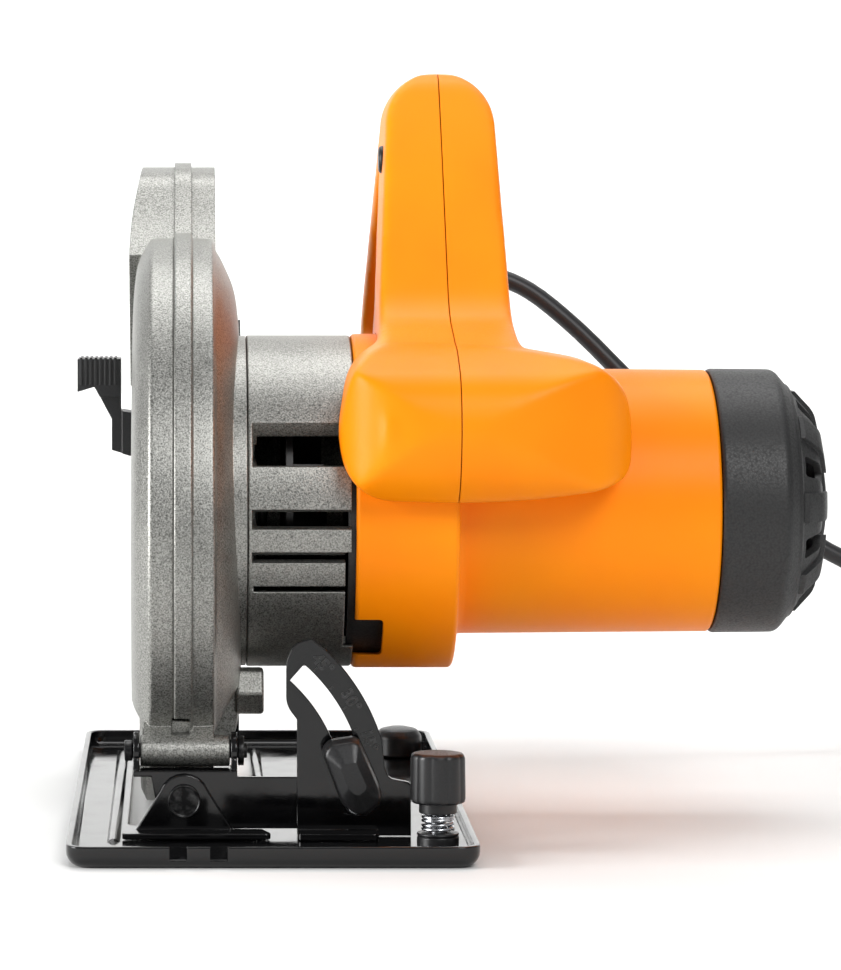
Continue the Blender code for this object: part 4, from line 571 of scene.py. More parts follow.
tree.links.new(leather.outputs["Normal"], shader.inputs["Normal"])

# A black shroud lies inside the flange, behind its opening, and leads the fan's air out through the louvres.
shroud = flattened_drum("fan_shroud", 54.6, UNDERSIDE - 3.5, flange_left - 2.6, flange_left + 16)
shaped(shroud, "DIFFERENCE", flattened_drum("shroud_inside", 52.6, UNDERSIDE - 5.5, flange_left - 4, flange_left + 18))
finished(shroud, "saw", ["motor_housing"], black_nylon, 30.0)

cap_left = 1000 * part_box("end_cap")[0][0]
cap_right = 1000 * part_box("end_cap")[1][0]
CAP = 45.4
cap = turned("end_cap_moulding", rounded([
    (cap_left, 0, 0), (cap_left, CAP - 0.2, 0.4), (cap_left + 0.9, CAP + 0.5, 0.5), (cap_left + 22.6, CAP + 0.3, 2.0),
    (cap_left + 26.6, CAP - 4.6, 1.4), (cap_left + 27.6, CAP - 5.0, 0.4), (cap_left + 28.2, CAP - 6.8, 0.4),
    (cap_left + 35.2, CAP - 14.5, 2.5), (cap_left + 37.2, CAP - 24, 4), (cap_left + 37.8, 17, 2), (cap_left + 37.8, 0, 0)], 4,
    False), "X", motor, 160)
boss = turned("boss", rounded([(cap_left + 30, 0, 0), (cap_left + 30, 18.4, 0), (cap_right - 0.6, 15.6, 1.4), (cap_right, 13, 1),
                               (cap_right, 0, 0)], 4, False), "X", motor, 96)
ribs = [straight("lug", np.vstack([polar(motor, 20, np.array((a - 13.0, a + 13.0))), polar(motor, 38.5, np.array((a + 7.5, a - 7.5)))]),
                 "X", cap_left + 24, cap_right - 0.4) for a in np.arange(8) * 45.0]
cone = turned("cone", rounded([(cap_left + 24, 0, 0), (cap_left + 24, CAP - 1.0, 0), (cap_left + 27.4, CAP - 4.2, 2),
                               (cap_left + 36.6, CAP - 14, 2.5), (cap_right - 0.5, CAP - 25.5, 3), (cap_right - 0.5, 0, 0)], 4,
                              False), "X", motor, 160)
lugs = ribs[0]
shaped(lugs, "UNION", *ribs[1:])
shaped(lugs, "INTERSECT", cone)
shaped(cap, "UNION", boss, lugs)
inlets = [straight("inlet", rounded(np.hstack([np.vstack([polar(motor, 21.5, np.array((a - 6.5, a + 6.5))),
                                                          polar(motor, 37.6, np.array((a + 5.6, a - 5.6)))]),
                                               np.full((4, 1), 1.2)]), 3), "X", cap_left + 26, cap_right + 1)
          for a in np.arange(8) * 45.0 + 22.5]
shaped(cap, "DIFFERENCE", *inlets, turned("cap_inside", [
    (cap_left - 1, CAP - 2.5), (cap_left + 21, CAP - 2.5), (cap_left + 25, CAP - 7), (cap_left + 33, CAP - 16.5),
    (cap_left + 35, CAP - 26), (cap_left + 36.8, 12)], "X", motor, 96))
finished(cap, "saw", ["end_cap"], black_nylon, 30.0)

# ---------------------------------------------------------------------------------------------------------------------
# The handle: two halves in the same orange ABS, a D-shaped grip that grows out of a broad pod clamped over the motor
# housing. Everything is generously rounded; the halves meet in a fine groove and are held by three screws.
# ---------------------------------------------------------------------------------------------------------------------
seam = body_pivot("trigger_press")[0]
my, mz = motor


def corner_rows(rows, offset=(0.0, 0.0)):
    """The corners moved by an offset, each with its reach."""
    return [(a + offset[0], b + offset[1], r) for a, b, r in rows]


side_view = rounded(corner_rows([
    (-66, 5, 4), (-78, 15, 8), (-82, 30, 9), (-76, 44, 9), (-52, 55.5, 8), (-17, 65, 12), (23, 123, 16), (44, 150.4, 12),
    (60, 150.4, 10), (73, 138, 12), (121, 67, 10), (121, 48, 10), (100, 36, 8), (61, 20, 6), (30, 2, 0), (0, 0, 0)], motor), 6)
handle = straight("handle_moulding", side_view, "X", seam - 60, seam + 60)
top = polar((seam, mz + 131.3), 19.7, np.linspace(4, 176, 40))
front_view = np.vstack([rounded([(seam - 25.2, mz - 12, 0), (seam + 23.4, mz - 12, 0), (seam + 22.2, mz + 50, 20),
                                 (seam + 19.6, mz + 131, 0)], 6, False), top, [(seam - 19.6, mz + 131), (seam - 25.2, mz + 50)]])
shaped(handle, "INTERSECT", straight("front_view", front_view, "Y", my - 100, my + 140))
pod_face = rounded([(seam - 40.2, mz + 26.5, 8), (seam - 37.2, mz + 12, 6), (seam - 28, mz + 4.6, 6), (seam, mz + 3.6, 10),
                    (seam + 26, mz + 4.8, 10), (seam + 49, mz + 8.4, 6), (seam + 58, mz + 12.6, 6), (seam + 59.4, mz + 26, 10),
                    (seam + 56.5, mz + 42, 7), (seam + 46, mz + 50.5, 9), (seam + 18, mz + 55.4, 12), (seam - 26, mz + 56.8, 6),
                    (seam - 36, mz + 48, 9)], 6)
pod_plan = rounded([(seam - 41, my - 24, 0), (seam - 41, my - 62, 10), (seam - 34, my - 75, 8), (seam - 20, my - 81.5, 8),
                    (seam + 5, my - 83.5, 14), (seam + 30, my - 80, 14), (seam + 52, my - 70, 10), (seam + 60, my - 56, 10),
                    (seam + 60, my - 24, 0)], 6)
pod_side = rounded([(my - 24, mz - 5, 0), (my - 64, mz + 1.5, 6), (my - 77, mz + 11.5, 9), (my - 84, mz + 29, 11),
                    (my - 79, mz + 45, 10), (my - 56, mz + 56, 10), (my - 24, mz + 60, 0)], 6)
pod = shaped(straight("pod", pod_face, "Y", my - 94, my - 24), "INTERSECT", straight("pod_plan", pod_plan, "Z", mz - 10, mz + 70),
             straight("pod_side", pod_side, "X", seam - 80, seam + 80))
shaped(handle, "UNION", pod)
window = rounded(corner_rows([(22.8, 61.1, 6), (63, 117, 9), (71, 116, 9), (106, 66, 9), (105, 55, 7), (60, 38, 7), (36, 45, 7)],
                             motor), 6)
shaped(handle, "DIFFERENCE", straight("window", window, "X", seam - 40, seam + 40))
remesh = handle.modifiers.new("even_skin", "REMESH")
remesh.mode = "VOXEL"
remesh.voxel_size = 0.0011
smoothing = handle.modifiers.new("moulded_rounding", "SMOOTH")
smoothing.factor = 0.5
smoothing.iterations = 26
baked(handle)
shaped(handle, "DIFFERENCE", turned("housing_seat", [(flange_left - 30, 58.3), (drum_left + 0.3, 58.3), (drum_left + 0.3, 46.5),
                                                     (cap_right, 46.5)], "X", motor, 160))
GRIP_ALONG = np.array((0.579, 0.816))
GRIP_ACROSS = np.array((-0.816, 0.579))


def grip(u, v):
    """A point of the grip: u along it from its foot, v from its underside towards its front."""
    return motor + (22.8, 61.1) + u * GRIP_ALONG + v * GRIP_ACROSS


cavity = np.array([grip(-2, 4), grip(64, 4), grip(64, 29.7), grip(-2, 29.7)])
trigger_slot = np.array([grip(2, -3), grip(47, -3), grip(47, 5), grip(2, 5)])
lock_centre = grip(57, 20)
screw_centres = [motor + (68, 135), motor + (80, 36.5), motor + (-50, 45)]
sleeve_hole = turned("sleeve_hole", [(-12, 8.3), (9, 8.3)], "Z", (0, 0), 48)
sleeve_pose = (Matrix.Translation(Vector(sleeve_root) / 1000)
               @ Vector((0, 0, 1)).rotation_difference(Vector(sleeve_way)).to_matrix().to_4x4())
sleeve_hole.data.transform(sleeve_pose)
shaped(handle, "DIFFERENCE", straight("cavity", cavity, "X", seam - 14, seam + 14),
       straight("trigger_slot", trigger_slot, "X", seam - 6, seam + 6), sleeve_hole,
       round_bar("lock_hole", "X", lock_centre, 5.3, seam - 30, seam - 10),
       *[turned("screw_hole", [(seam - 10.5, 2.2), (seam + 8.7, 2.2), (seam + 8.7, 3.8), (seam + 40, 3.8)], "X", c, 24)
         for c in screw_centres])
for name, low, high in (("handle_half_left", seam - 100, seam - 0.16), ("handle_half_right", seam + 0.16, seam + 100)):
    half = bpy.data.objects.new(name, handle.data.copy())
    bpy.context.scene.collection.objects.link(half)
    shaped(half, "INTERSECT", block("side", (low, my - 120, mz - 40), (high, my + 160, mz + 180)))
    node = "handle_left" if high < seam else "handle_right"
    finished(half, "saw", [node], orange_abs, 50.0)
bpy.data.objects.remove(handle)

# ---------------------------------------------------------------------------------------------------------------------
# The base plate: 2 mm steel pressed into a shallow tray, its edge turned up and its deck stiffened by two pressed ribs,
# slotted for the blade at every bevel and notched in front for sighting the cut. Stove-enamelled gloss black.
# ---------------------------------------------------------------------------------------------------------------------
# Stove enamel: deep black and glossy, so that it mirrors the room softly. Its orange peel is about 2.5 mm across.
black_enamel, tree, shader = finish_of("gloss_black_stove_enamel", "050506", 0.12)
where = add_node(tree, "ShaderNodeTexCoord")
peel = add_node(tree, "ShaderNodeTexNoise", values={"Scale": 1 / 0.0025, "Detail": 1.5}, links={"Vector": (where, "Object")})
dust = add_node(tree, "ShaderNodeTexNoise", values={"Scale": 1 / 0.012, "Detail": 6.0}, links={"Vector": (where, "Object")})
mixed_by(tree, shader, dust, 0.4, 0.75, (0.07, 0.07, 0.07, 1), (0.17, 0.17, 0.17, 1), "Fac", "Roughness")
ripple = add_node(tree, "ShaderNodeBump", values={"Strength": 0.05, "Distance": 0.0002}, links={"Height": (peel, "Fac")})
soft_edges = add_node(tree, "ShaderNodeBevel", {"samples": 6}, {"Radius": 0.0006})
tree.links.new(soft_edges.outputs["Normal"], ripple.inputs["Normal"])
tree.links.new(ripple.outputs["Normal"], shader.inputs["Normal"])

(left, front, _), (right, rear, rim_top) = (tuple(1000 * c for c in corner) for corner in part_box("base_plate"))
SHEET = 2.0
BEND = 5.0


def tray_course(height, inset):
    """One level of the tray: a rectangle inset from its edge, with 8 mm corners that shrink with the inset."""
    reach = 8.0 - inset
    outline = rounded([(left + inset, front + inset, reach), (right - inset, front + inset, reach),
                       (right - inset, rear - inset, reach), (left + inset, rear - inset, reach)], 9)
    return placed("Z", height, outline[:, 0], outline[:, 1])


lean = np.radians(np.arange(0, 91, 15))
outside = [(BEND - BEND * math.cos(a), BEND - BEND * math.sin(a)) for a in lean]
lip = [(rim_top - 0.55, 0), (rim_top - 0.2, 0.08), (rim_top, 0.5), (rim_top, 1.5), (rim_top - 0.2, 1.92), (rim_top - 0.55, 2)]
inside = [(BEND - 3 * math.cos(a), SHEET + 3 - 3 * math.sin(a)) for a in lean[::-1]]
tray = closed_surface("base_plate_pressing", np.stack([tray_course(*level) for level in outside + lip + inside]))


def pressed_rib(x, start, end):
    """A long blister: its cross-section is half a cosine wave 4.4 mm wide, and its height grows from nothing to 1.1 mm
    over the first 2 mm and fades over the last."""
    u = np.linspace(-1, 1, 13)
    section = np.append(1.1 * np.cos(u * np.pi / 2), (-0.4, -0.4))
    across = np.append(2.2 * u, (2.2, -2.2))
    share = np.linspace(0, 1, 6)
    along = np.concatenate([start + 2 * share, end - 2 * share[::-1]])
    swell = np.sin(np.concatenate([share, share[::-1]]) * np.pi / 2)[:, None]
    height = np.where(section > 0, section * swell + 0.01, section)
    return closed_surface("rib", placed("Y", along[:, None], x + across[None], SHEET - 0.02 + height))


ribs = [pressed_rib(x, start, rear - 20) for x, start in ((blade_x - 21.5, front + 42), (blade_x + 28.7, front + 85))]
reach_y = hinge[0] + 108.0
opening = rounded([(blade_x - 17.1, reach_y - 96, 4), (blade_x + 26.9, reach_y - 96, 4), (blade_x + 26.9, reach_y + 99, 4),
                   (blade_x - 17.1, reach_y + 99, 4)], 6)
notches = [block("notch", (x - 2.8, front - 1, SHEET + 0.6), (x + 2.8, front + SHEET + 1, rim_top + 1))
           for x in (blade_x, blade_x + 13)]
shaped(tray, "UNION", *ribs)
shaped(tray, "DIFFERENCE", straight("opening", opening, "Z", -1, SHEET + 3), *notches)
finished(tray, "base", ["base_plate"], black_enamel, 30.0)

# ---------------------------------------------------------------------------------------------------------------------
# The bevel quadrant: a steel stamping stood on its foot on the deck, with the curved slot for the bevel lock and a
# scale of raised degree marks along its outer edge. Same gloss black enamel.
# ---------------------------------------------------------------------------------------------------------------------
tilt_x, _, tilt_z = body_pivot("bevel_tilt")
tilt_axis = np.array((tilt_x, tilt_z))
quad_front = 1000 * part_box("front_tilt_bracket")[0][1] - 2.3
deck = SHEET + 0.3
side = 1000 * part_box("bevel_quadrant")[1][0]
foot = tilt_x + 37.5
outer_arc = polar(tilt_axis, 68.8, np.linspace(17, 47, 32))
edge = [(foot, deck, 0), (side, deck, 0), (side, 20.0, 1.5), (side - 7.5, 21.4, 3), (tilt_x + 66.6, 25.5, 3)]
top_edge = [(tilt_x + 42.2, tilt_z + 53.8, 2.5), (tilt_x + 36.6, tilt_z + 52.4, 3), (tilt_x + 33.9, tilt_z + 46.5, 3),
            (tilt_x + 33.9, tilt_z + 31.8, 3), (foot, tilt_z + 27.0, 2.5)]
quad_outline = np.vstack([rounded(edge, 5, False), outer_arc, rounded(top_edge, 5, False)])
quadrant = straight("bevel_quadrant_stamping", quad_outline, "Y", quad_front, quad_front + 2)
quad_foot = straight("quad_foot", rounded([(foot, quad_front + 1, 0), (foot, quad_front - 10, 2),
                                           (foot + 27, quad_front - 10, 2), (foot + 27, quad_front + 1, 0)], 5), "Z", deck, deck + 2)
slot_outline = np.vstack([polar(tilt_axis, 60.4, np.linspace(-4.5, 48.7, 40)), polar(tilt_axis, 53.2, np.linspace(48.7, -4.5, 40))])
shaped(quadrant, "UNION", quad_foot)
shaped(quadrant, "DIFFERENCE", straight("slot", slot_outline, "Y", quad_front - 1, quad_front + 3))
marks = []
for label, angle in (("45°", 44.5), ("30°", 31.0), ("15°", 18.0)):
    letters = bpy.data.curves.new("degree_mark", "FONT")
    letters.body = label
    letters.size = 0.0056
    letters.extrude = 0.0003
    letters.align_x = "CENTER"
    letters.align_y = "CENTER"
    letters.offset = 0.00018
    written = bpy.data.objects.new("degree_mark", letters)
    bpy.context.scene.collection.objects.link(written)
    baked_mesh = bpy.data.meshes.new_from_object(written.evaluated_get(bpy.context.evaluated_depsgraph_get()))
    bpy.data.objects.remove(written)
    spot = polar(tilt_axis, 64.6, angle)
    baked_mesh.transform(Matrix.Translation((spot[0] / 1000, (quad_front - 0.2) / 1000, spot[1] / 1000))
                         @ Matrix.Rotation(math.radians(90 - angle), 4, "Y") @ Matrix.Rotation(math.pi / 2, 4, "X"))
    marks.append(baked_mesh)
for angle in (0.0, 15.0, 30.0, 45.0, 7.5, 22.5, 37.5):
    length = 1.5
    bar = block("tick", (59.0 + 2.0, -0.25, -0.25), (61.0 + length, 0.25, 0.25))
    bar.data.transform(Matrix.Translation((tilt_x / 1000, (quad_front - 0.15) / 1000, tilt_z / 1000))
                       @ Matrix.Rotation(math.radians(-angle), 4, "Y"))
    marks.append(bar.data)
    bpy.data.objects.remove(bar)
gathered = bmesh.new()
for mesh in marks:
    gathered.from_mesh(mesh)
scale_mesh = bpy.data.meshes.new("degree_scale")
gathered.to_mesh(scale_mesh)
gathered.free()
scale = bpy.data.objects.new("degree_scale", scale_mesh)
bpy.context.scene.collection.objects.link(scale)
# The raised marks are painted a little paler than the enamel round them: a painted highlight on their crests, mottled
# at random.
highlight_painted_enamel, tree, shader = finish_of("black_enamel_with_painted_highlight", "242424", 0.3)
where = add_node(tree, "ShaderNodeTexCoord")
rubs_and_highlight_mottle = add_node(tree, "ShaderNodeTexNoise", values={"Scale": 1 / 0.0012, "Detail": 3.0}, links={"Vector": (where, "Object")})
mixed_by(tree, shader, rubs_and_highlight_mottle, 0.35, 0.65, linear("161616"), linear("343434"), "Fac")
scale_mesh.materials.append(highlight_painted_enamel)
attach(scale, "base")
finished(quadrant, "base", ["bevel_quadrant"], black_enamel, 30.0)

# ---------------------------------------------------------------------------------------------------------------------
# The folded brackets: the fixed feet front and rear, the tilt bracket that carries the hinge barrel, and the depth arc.
# 2 mm steel, folded, welded to the deck or riveted, in the same black enamel. Their edges are just broken.
# ---------------------------------------------------------------------------------------------------------------------


def copied(node, name):
    """A copy of a CAD node, with its loose triangles merged and its flat faces made whole."""
    piece = bpy.data.objects.new(name, frame["nodes"][node].data.copy())
    bpy.context.scene.collection.objects.link(piece)
    shape = bmesh.new()
    shape.from_mesh(piece.data)
    bmesh.ops.remove_doubles(shape, verts=shape.verts, dist=2e-6)
    bmesh.ops.dissolve_limit(shape, angle_limit=math.radians(1.0), verts=shape.verts, edges=shape.edges)
    shape.to_mesh(piece.data)
    shape.free()
    return piece


for node, name, body in (("front_pivot_bracket", "front_foot_bracket", "base"), ("rear_pivot_bracket", "rear_foot_bracket", "base"),
                         ("front_tilt_bracket", "tilt_bracket", "tilt_frame"), ("depth_arc", "depth_arc_stamping", "tilt_frame")):
    finished(edged(copied(node, name), 0.35, 2), body, [node], black_enamel)

# ---------------------------------------------------------------------------------------------------------------------
# The bevel pivots and the depth hinge: shouldered steel rivets and a plain pin, blackened by heat and oil, their heads
# turned to a low dome with a rolled edge, and the thin nut on the pin.
# ---------------------------------------------------------------------------------------------------------------------
# Oil-blacked steel: near black with a dull metal glint that brightens where hands and washers have rubbed it.
oil_blacked_steel, tree, shader = finish_of("oil_blacked_steel", "2A2A2B", 0.36, 0.85)
where = add_node(tree, "ShaderNodeTexCoord")
rubs_and_highlight_mottle = add_node(tree, "ShaderNodeTexNoise", values={"Scale": 1 / 0.003, "Detail": 5.0}, links={"Vector": (where, "Object")})
mixed_by(tree, shader, rubs_and_highlight_mottle, 0.42, 0.7, linear("1C1C1D"), linear("565656"), "Fac")
soft_edges = add_node(tree, "ShaderNodeBevel", {"samples": 4}, {"Radius": 0.0003})
tree.links.new(soft_edges.outputs["Normal"], shader.inputs["Normal"])
for node, name in (("bevel_rivet_front", "front_rivet"), ("bevel_rivet_rear", "rear_rivet")):
    low, high = (1000 * corner[1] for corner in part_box(node))
    head = rounded([(low + 0.35, 0, 0), (low + 0.35, 4.75, 0.2), (low, 5.0, 0.15), (low, 5.25, 0.15), (low + 0.5, 5.4, 0.2),
                    (low + 2.0, 5.4, 0.1), (low + 2.0, 3.0, 0), (high - 2.1, 3.0, 0), (high - 2.1, 4.5, 0.2), (high, 4.0, 0.8),
                    (high, 0, 0)], 5, False)
    rivet = turned(name, head, "Y", tilt_axis, 96)
    finished(rivet, "tilt_frame", [node], oil_blacked_steel)
finished(edged(copied("depth_hinge_pin", "hinge_pin"), 0.5, 3), "tilt_frame", ["depth_hinge_pin"], oil_blacked_steel)
finished(edged(copied("depth_hinge_nut", "hinge_nut"), 0.3, 2), "tilt_frame", ["depth_hinge_nut"], oil_blacked_steel)

# ---------------------------------------------------------------------------------------------------------------------
# The bevel lock lever: a thick black nylon wing on the carriage bolt, with broad facets that catch the light, over a
# short hub.
# ---------------------------------------------------------------------------------------------------------------------
# Smooth black nylon: a moulded satin black, a little greyer where the light grazes it.
satin_nylon, tree, shader = finish_of("satin_black_nylon", "1B1B1C", 0.36)
where = add_node(tree, "ShaderNodeTexCoord")
grain = add_node(tree, "ShaderNodeTexNoise", values={"Scale": 1 / 0.0006, "Detail": 2.0}, links={"Vector": (where, "Object")})
mixed_by(tree, shader, grain, 0.35, 0.7, (0.3, 0.3, 0.3, 1), (0.44, 0.44, 0.44, 1), "Fac", "Roughness")
mixed_by(tree, shader, grain, 0.3, 0.75, linear("161617"), linear("212122"), "Fac")
fine = add_node(tree, "ShaderNodeBump", values={"Strength": 0.12, "Distance": 0.0001}, links={"Height": (grain, "Fac")})
soft_edges = add_node(tree, "ShaderNodeBevel", {"samples": 4}, {"Radius": 0.0004})
tree.links.new(soft_edges.outputs["Normal"], fine.inputs["Normal"])
tree.links.new(fine.outputs["Normal"], shader.inputs["Normal"])

lock_x, lock_y, lock_z = body_pivot("bevel_lever_turn")
wing_low, wing_high = (1000 * corner[1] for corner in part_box("bevel_lock_lever"))
wing = rounded([(-11.6, 17.9, 2), (-9, 21.1, 1.5), (-1.1, 22.4, 1.5), (1.0, 21.6, 1.2), (8.6, 4.2, 3), (8.3, 0.5, 2),
                (3.1, -3.7, 2), (-0.1, -3.5, 2), (-4.8, 0.1, 3)], 4)
wing_middle = np.array((-0.9, 9.6))
# Rows from the ridge along its front outwards: depth behind the front, and size about the wing's middle.
steps_in = np.array([(0.0, 0.40), (0.1, 0.43), (0.35, 0.46), (2.7, 0.84), (3.1, 0.89), (3.6, 0.92), (6.0, 0.985), (6.6, 1.0),
                     (10.8, 1.0), (11.4, 0.97), (11.5, 0.93)])
wing_rows = wing_middle + (wing - wing_middle)[None] * steps_in[:, 1][:, None, None] + (lock_x, lock_z)
lever = closed_surface("bevel_lock_wing", placed("Y", wing_low + steps_in[:, :1], wing_rows[..., 0], wing_rows[..., 1]))
shaped(lever, "UNION", round_bar("hub", "Y", (lock_x + 0.6, lock_z + 0.4), 4.4, wing_low + 11, wing_high))
shaped(lever, "DIFFERENCE", round_bar("bolt_bore", "Y", (lock_x, lock_z), 3.3, wing_low + 4.7, wing_high + 1))
finished(lever, "bevel_lever", ["bevel_lock_lever"], satin_nylon, 32.0)

# ---------------------------------------------------------------------------------------------------------------------
# The fence clamp: a fluted black nylon thumb knob on a zinc-plated screw, a bright spring under it that stops it from
# rattling loose, and the flanged black boss on the deck that the screw goes into.
# ---------------------------------------------------------------------------------------------------------------------
# Zinc plate: bright bluish silver, lightly streaked by the barrel it was plated in.
zinc_plate, tree, shader = finish_of("bright_zinc_plate", "C9CCD0", 0.22, 1.0)
where = add_node(tree, "ShaderNodeTexCoord")
streaks = add_node(tree, "ShaderNodeTexNoise", values={"Scale": 1 / 0.0015, "Detail": 4.0}, links={"Vector": (where, "Object")})
mixed_by(tree, shader, streaks, 0.35, 0.7, (0.16, 0.16, 0.16, 1), (0.34, 0.34, 0.34, 1), "Fac", "Roughness")
mixed_by(tree, shader, streaks, 0.3, 0.7, linear("B6B9BE"), linear("DADCDF"), "Fac")
soft_edges = add_node(tree, "ShaderNodeBevel", {"samples": 4}, {"Radius": 0.0002})
tree.links.new(soft_edges.outputs["Normal"], shader.inputs["Normal"])

fence_x, fence_y, _ = body_pivot("fence_screw_turn")
fence_at = np.array((fence_x, fence_y))
knob_low, knob_top = (1000 * corner[2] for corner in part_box("fence_knob"))
levels = np.array([(knob_low + 3.4, 8.2), (knob_low + 3.9, 8.9), (knob_low + 5.0, 9.15), (knob_top - 1.6, 9.0), (knob_top - 0.7, 8.7),
                   (knob_top - 0.15, 8.0), (knob_top, 7.0), (knob_top - 0.1, 6.0)])
angle = np.linspace(0, 2 * np.pi, 192, endpoint=False)
flute = 0.42 * np.abs(np.sin(5 * angle)) - 0.38
strength = np.array((0.6, 1, 1, 1, 1, 0.8, 0.2, 0.0))[:, None]
radius = levels[:, 1:] + strength * flute[None]
knob = closed_surface("fence_knob_fluted", placed("Z", levels[:, :1], fence_x + radius * np.cos(angle), fence_y + radius * np.sin(angle)))
shaped(knob, "UNION", turned("neck", rounded([(knob_low, 0, 0), (knob_low, 6.2, 0.4), (knob_low + 5, 6.2, 0), (knob_low + 5, 0, 0)], 3, False),
                             "Z", fence_at, 64))
shaped(knob, "DIFFERENCE", round_bar("screw_bore", "Z", fence_at, 2.9, knob_low - 1, knob_low + 6.3))
finished(knob, "fence_screw", ["fence_knob"], satin_nylon, 32.0)
finished(edged(copied("fence_screw", "fence_screw_stem"), 0.3, 2), "fence_screw", ["fence_screw"], zinc_plate)


def wire(name, path, radius, sides=12):
    """A round wire: at each point of the path, a circle across the path's direction, turned with it."""
    heading = np.gradient(path, axis=0)
    heading /= np.linalg.norm(heading, axis=1, keepdims=True)
    across = np.cross(heading, (0, 0, 1.0))
    across /= np.linalg.norm(across, axis=1, keepdims=True)
    upward = np.cross(across, heading)
    a = np.linspace(0, 2 * np.pi, sides, endpoint=False)[None, :, None]
    return closed_surface(name, path[:, None] + radius * (np.cos(a) * across[:, None] + np.sin(a) * upward[:, None]))


spring_low, spring_high = (1000 * corner[2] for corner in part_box("fence_spring"))
turns = np.linspace(0, 1, 220)
spin = 2 * np.pi * 4 * turns
rise = np.interp(turns, (0, 0.2, 0.8, 1), (0, 0.08, 0.92, 1)) * (spring_high - spring_low - 1.2) + spring_low + 0.6
spring = wire("fence_spring_coil", np.stack([fence_x + 4.9 * np.cos(spin), fence_y + 4.9 * np.sin(spin), rise], axis=1), 0.55)
finished(spring, "base", ["fence_spring"], zinc_plate, 60.0)
finished(edged(copied("fence_boss", "fence_boss_flanged"), 0.3, 2), "base", ["fence_boss"], satin_nylon)
finished(edged(copied("rear_boss", "rear_boss_domed"), 0.8, 3), "base", ["rear_boss"], satin_nylon)

# ---------------------------------------------------------------------------------------------------------------------
# The lower guard: a thin aluminium casting that turns on the hub under spring load, and the black nylon lever that
# lifts it, with a ribbed thumb pad standing out past the blade side of the upper guard.
# ---------------------------------------------------------------------------------------------------------------------
lower_casting = copied("lower_guard", "lower_guard_casting")
# Its outer corner is bevelled to slide under the upper guard's sloping shoulder.
sleeve = [(blade_x - 13.6, 0, 0), (blade_x - 13.6, 92.4, 0), (blade_x - 13.2, 92.8, 0), (blade_x - 11.7, 96.0, 0),
          (blade_x - 11.0, 97.3, 0), (blade_x + 10, 97.3, 0), (blade_x + 10, 0, 0)]
shaped(lower_casting, "INTERSECT", turned("sleeve", rounded(sleeve, 1, False), "X", arbor, 160))
finished(lower_casting, "lower_guard", ["lower_guard"], cast_aluminium, 30.0)
pad_left = 1000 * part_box("lower_guard_lever")[0][0]
lifter = edged(copied("lower_guard_lever", "guard_lifter"), 0.7, 3)
pad_ribs = [block("pad_rib", (pad_left + 0.9 + i * 1.72, arbor[0] - 9.55, arbor[1] + 50.2),
                  (pad_left + 1.8 + i * 1.72, arbor[0] + 9.55, arbor[1] + 59.9)) for i in range(8)]
shaped(lifter, "UNION", *pad_ribs)
finished(lifter, "lower_guard", ["lower_guard_lever"], satin_nylon, 32.0)

# ---------------------------------------------------------------------------------------------------------------------
# The blade and its clamping: a 185 mm carbide-tipped blade, ground and lacquered, between two steel flanges held by the
# flanged bolt in the spindle's end. A stamped steel gear drives the spindle.
# ---------------------------------------------------------------------------------------------------------------------
# Ground blade steel: fine circles round the arbor under clear lacquer. The real grinding lines are 0.1 mm apart,
# drawn at 0.8 mm.
ground_steel, tree, shader = finish_of("ground_blade_steel", "B9BABB", 0.28, 1.0)
where = add_node(tree, "ShaderNodeTexCoord")
centred = add_node(tree, "ShaderNodeMapping", {"vector_type": "POINT"},
                   {"Location": (0.0, -arbor[0] / 1000, -arbor[1] / 1000)}, {"Vector": (where, "Object")})
rings = add_node(tree, "ShaderNodeTexWave", {"wave_type": "RINGS", "rings_direction": "X"},
                 {"Scale": 1 / 0.0008 / 20, "Distortion": 0.6, "Detail": 2.0}, {"Vector": (centred, "Vector")})
mixed_by(tree, shader, rings, 0.2, 0.8, (0.22, 0.22, 0.22, 1), (0.36, 0.36, 0.36, 1), "Fac", "Roughness")
mixed_by(tree, shader, rings, 0.1, 0.9, linear("A9AAAB"), linear("C8C9CA"), "Fac")
for node, name in (("blade", "saw_blade"), ("outer_flange", "outer_clamp_flange"), ("inner_flange", "inner_clamp_flange"),
                   ("output_gear", "output_gear_wheel")):
    slot_name = "blade_steel" if node == "blade" else "turned_steel"
    finished(edged(copied(node, name), 0.2, 1), "spindle", [node], ground_steel)
finished(edged(copied("blade_bolt", "blade_bolt_flanged"), 0.4, 2), "spindle", ["blade_bolt"], zinc_plate)

# ---------------------------------------------------------------------------------------------------------------------
# The trigger, the lock-off button and the spindle lock button: small satin nylon mouldings sprung outwards, and the
# switch body behind the trigger.
# ---------------------------------------------------------------------------------------------------------------------
for node, name, body, width in (("trigger", "trigger_moulding", "trigger", 1.6), ("lock_off_button", "lock_off_moulding",
                                "lock_off_button", 0.5), ("spindle_lock_button", "spindle_lock_moulding", "spindle_lock", 0.5),
                                ("switch_body", "switch_block", "saw", 0.6), ("depth_lock_lever", "depth_wing_nut", "depth_lever", 1.0)):
    finished(edged(copied(node, name), width, 3), body, [node], satin_nylon)
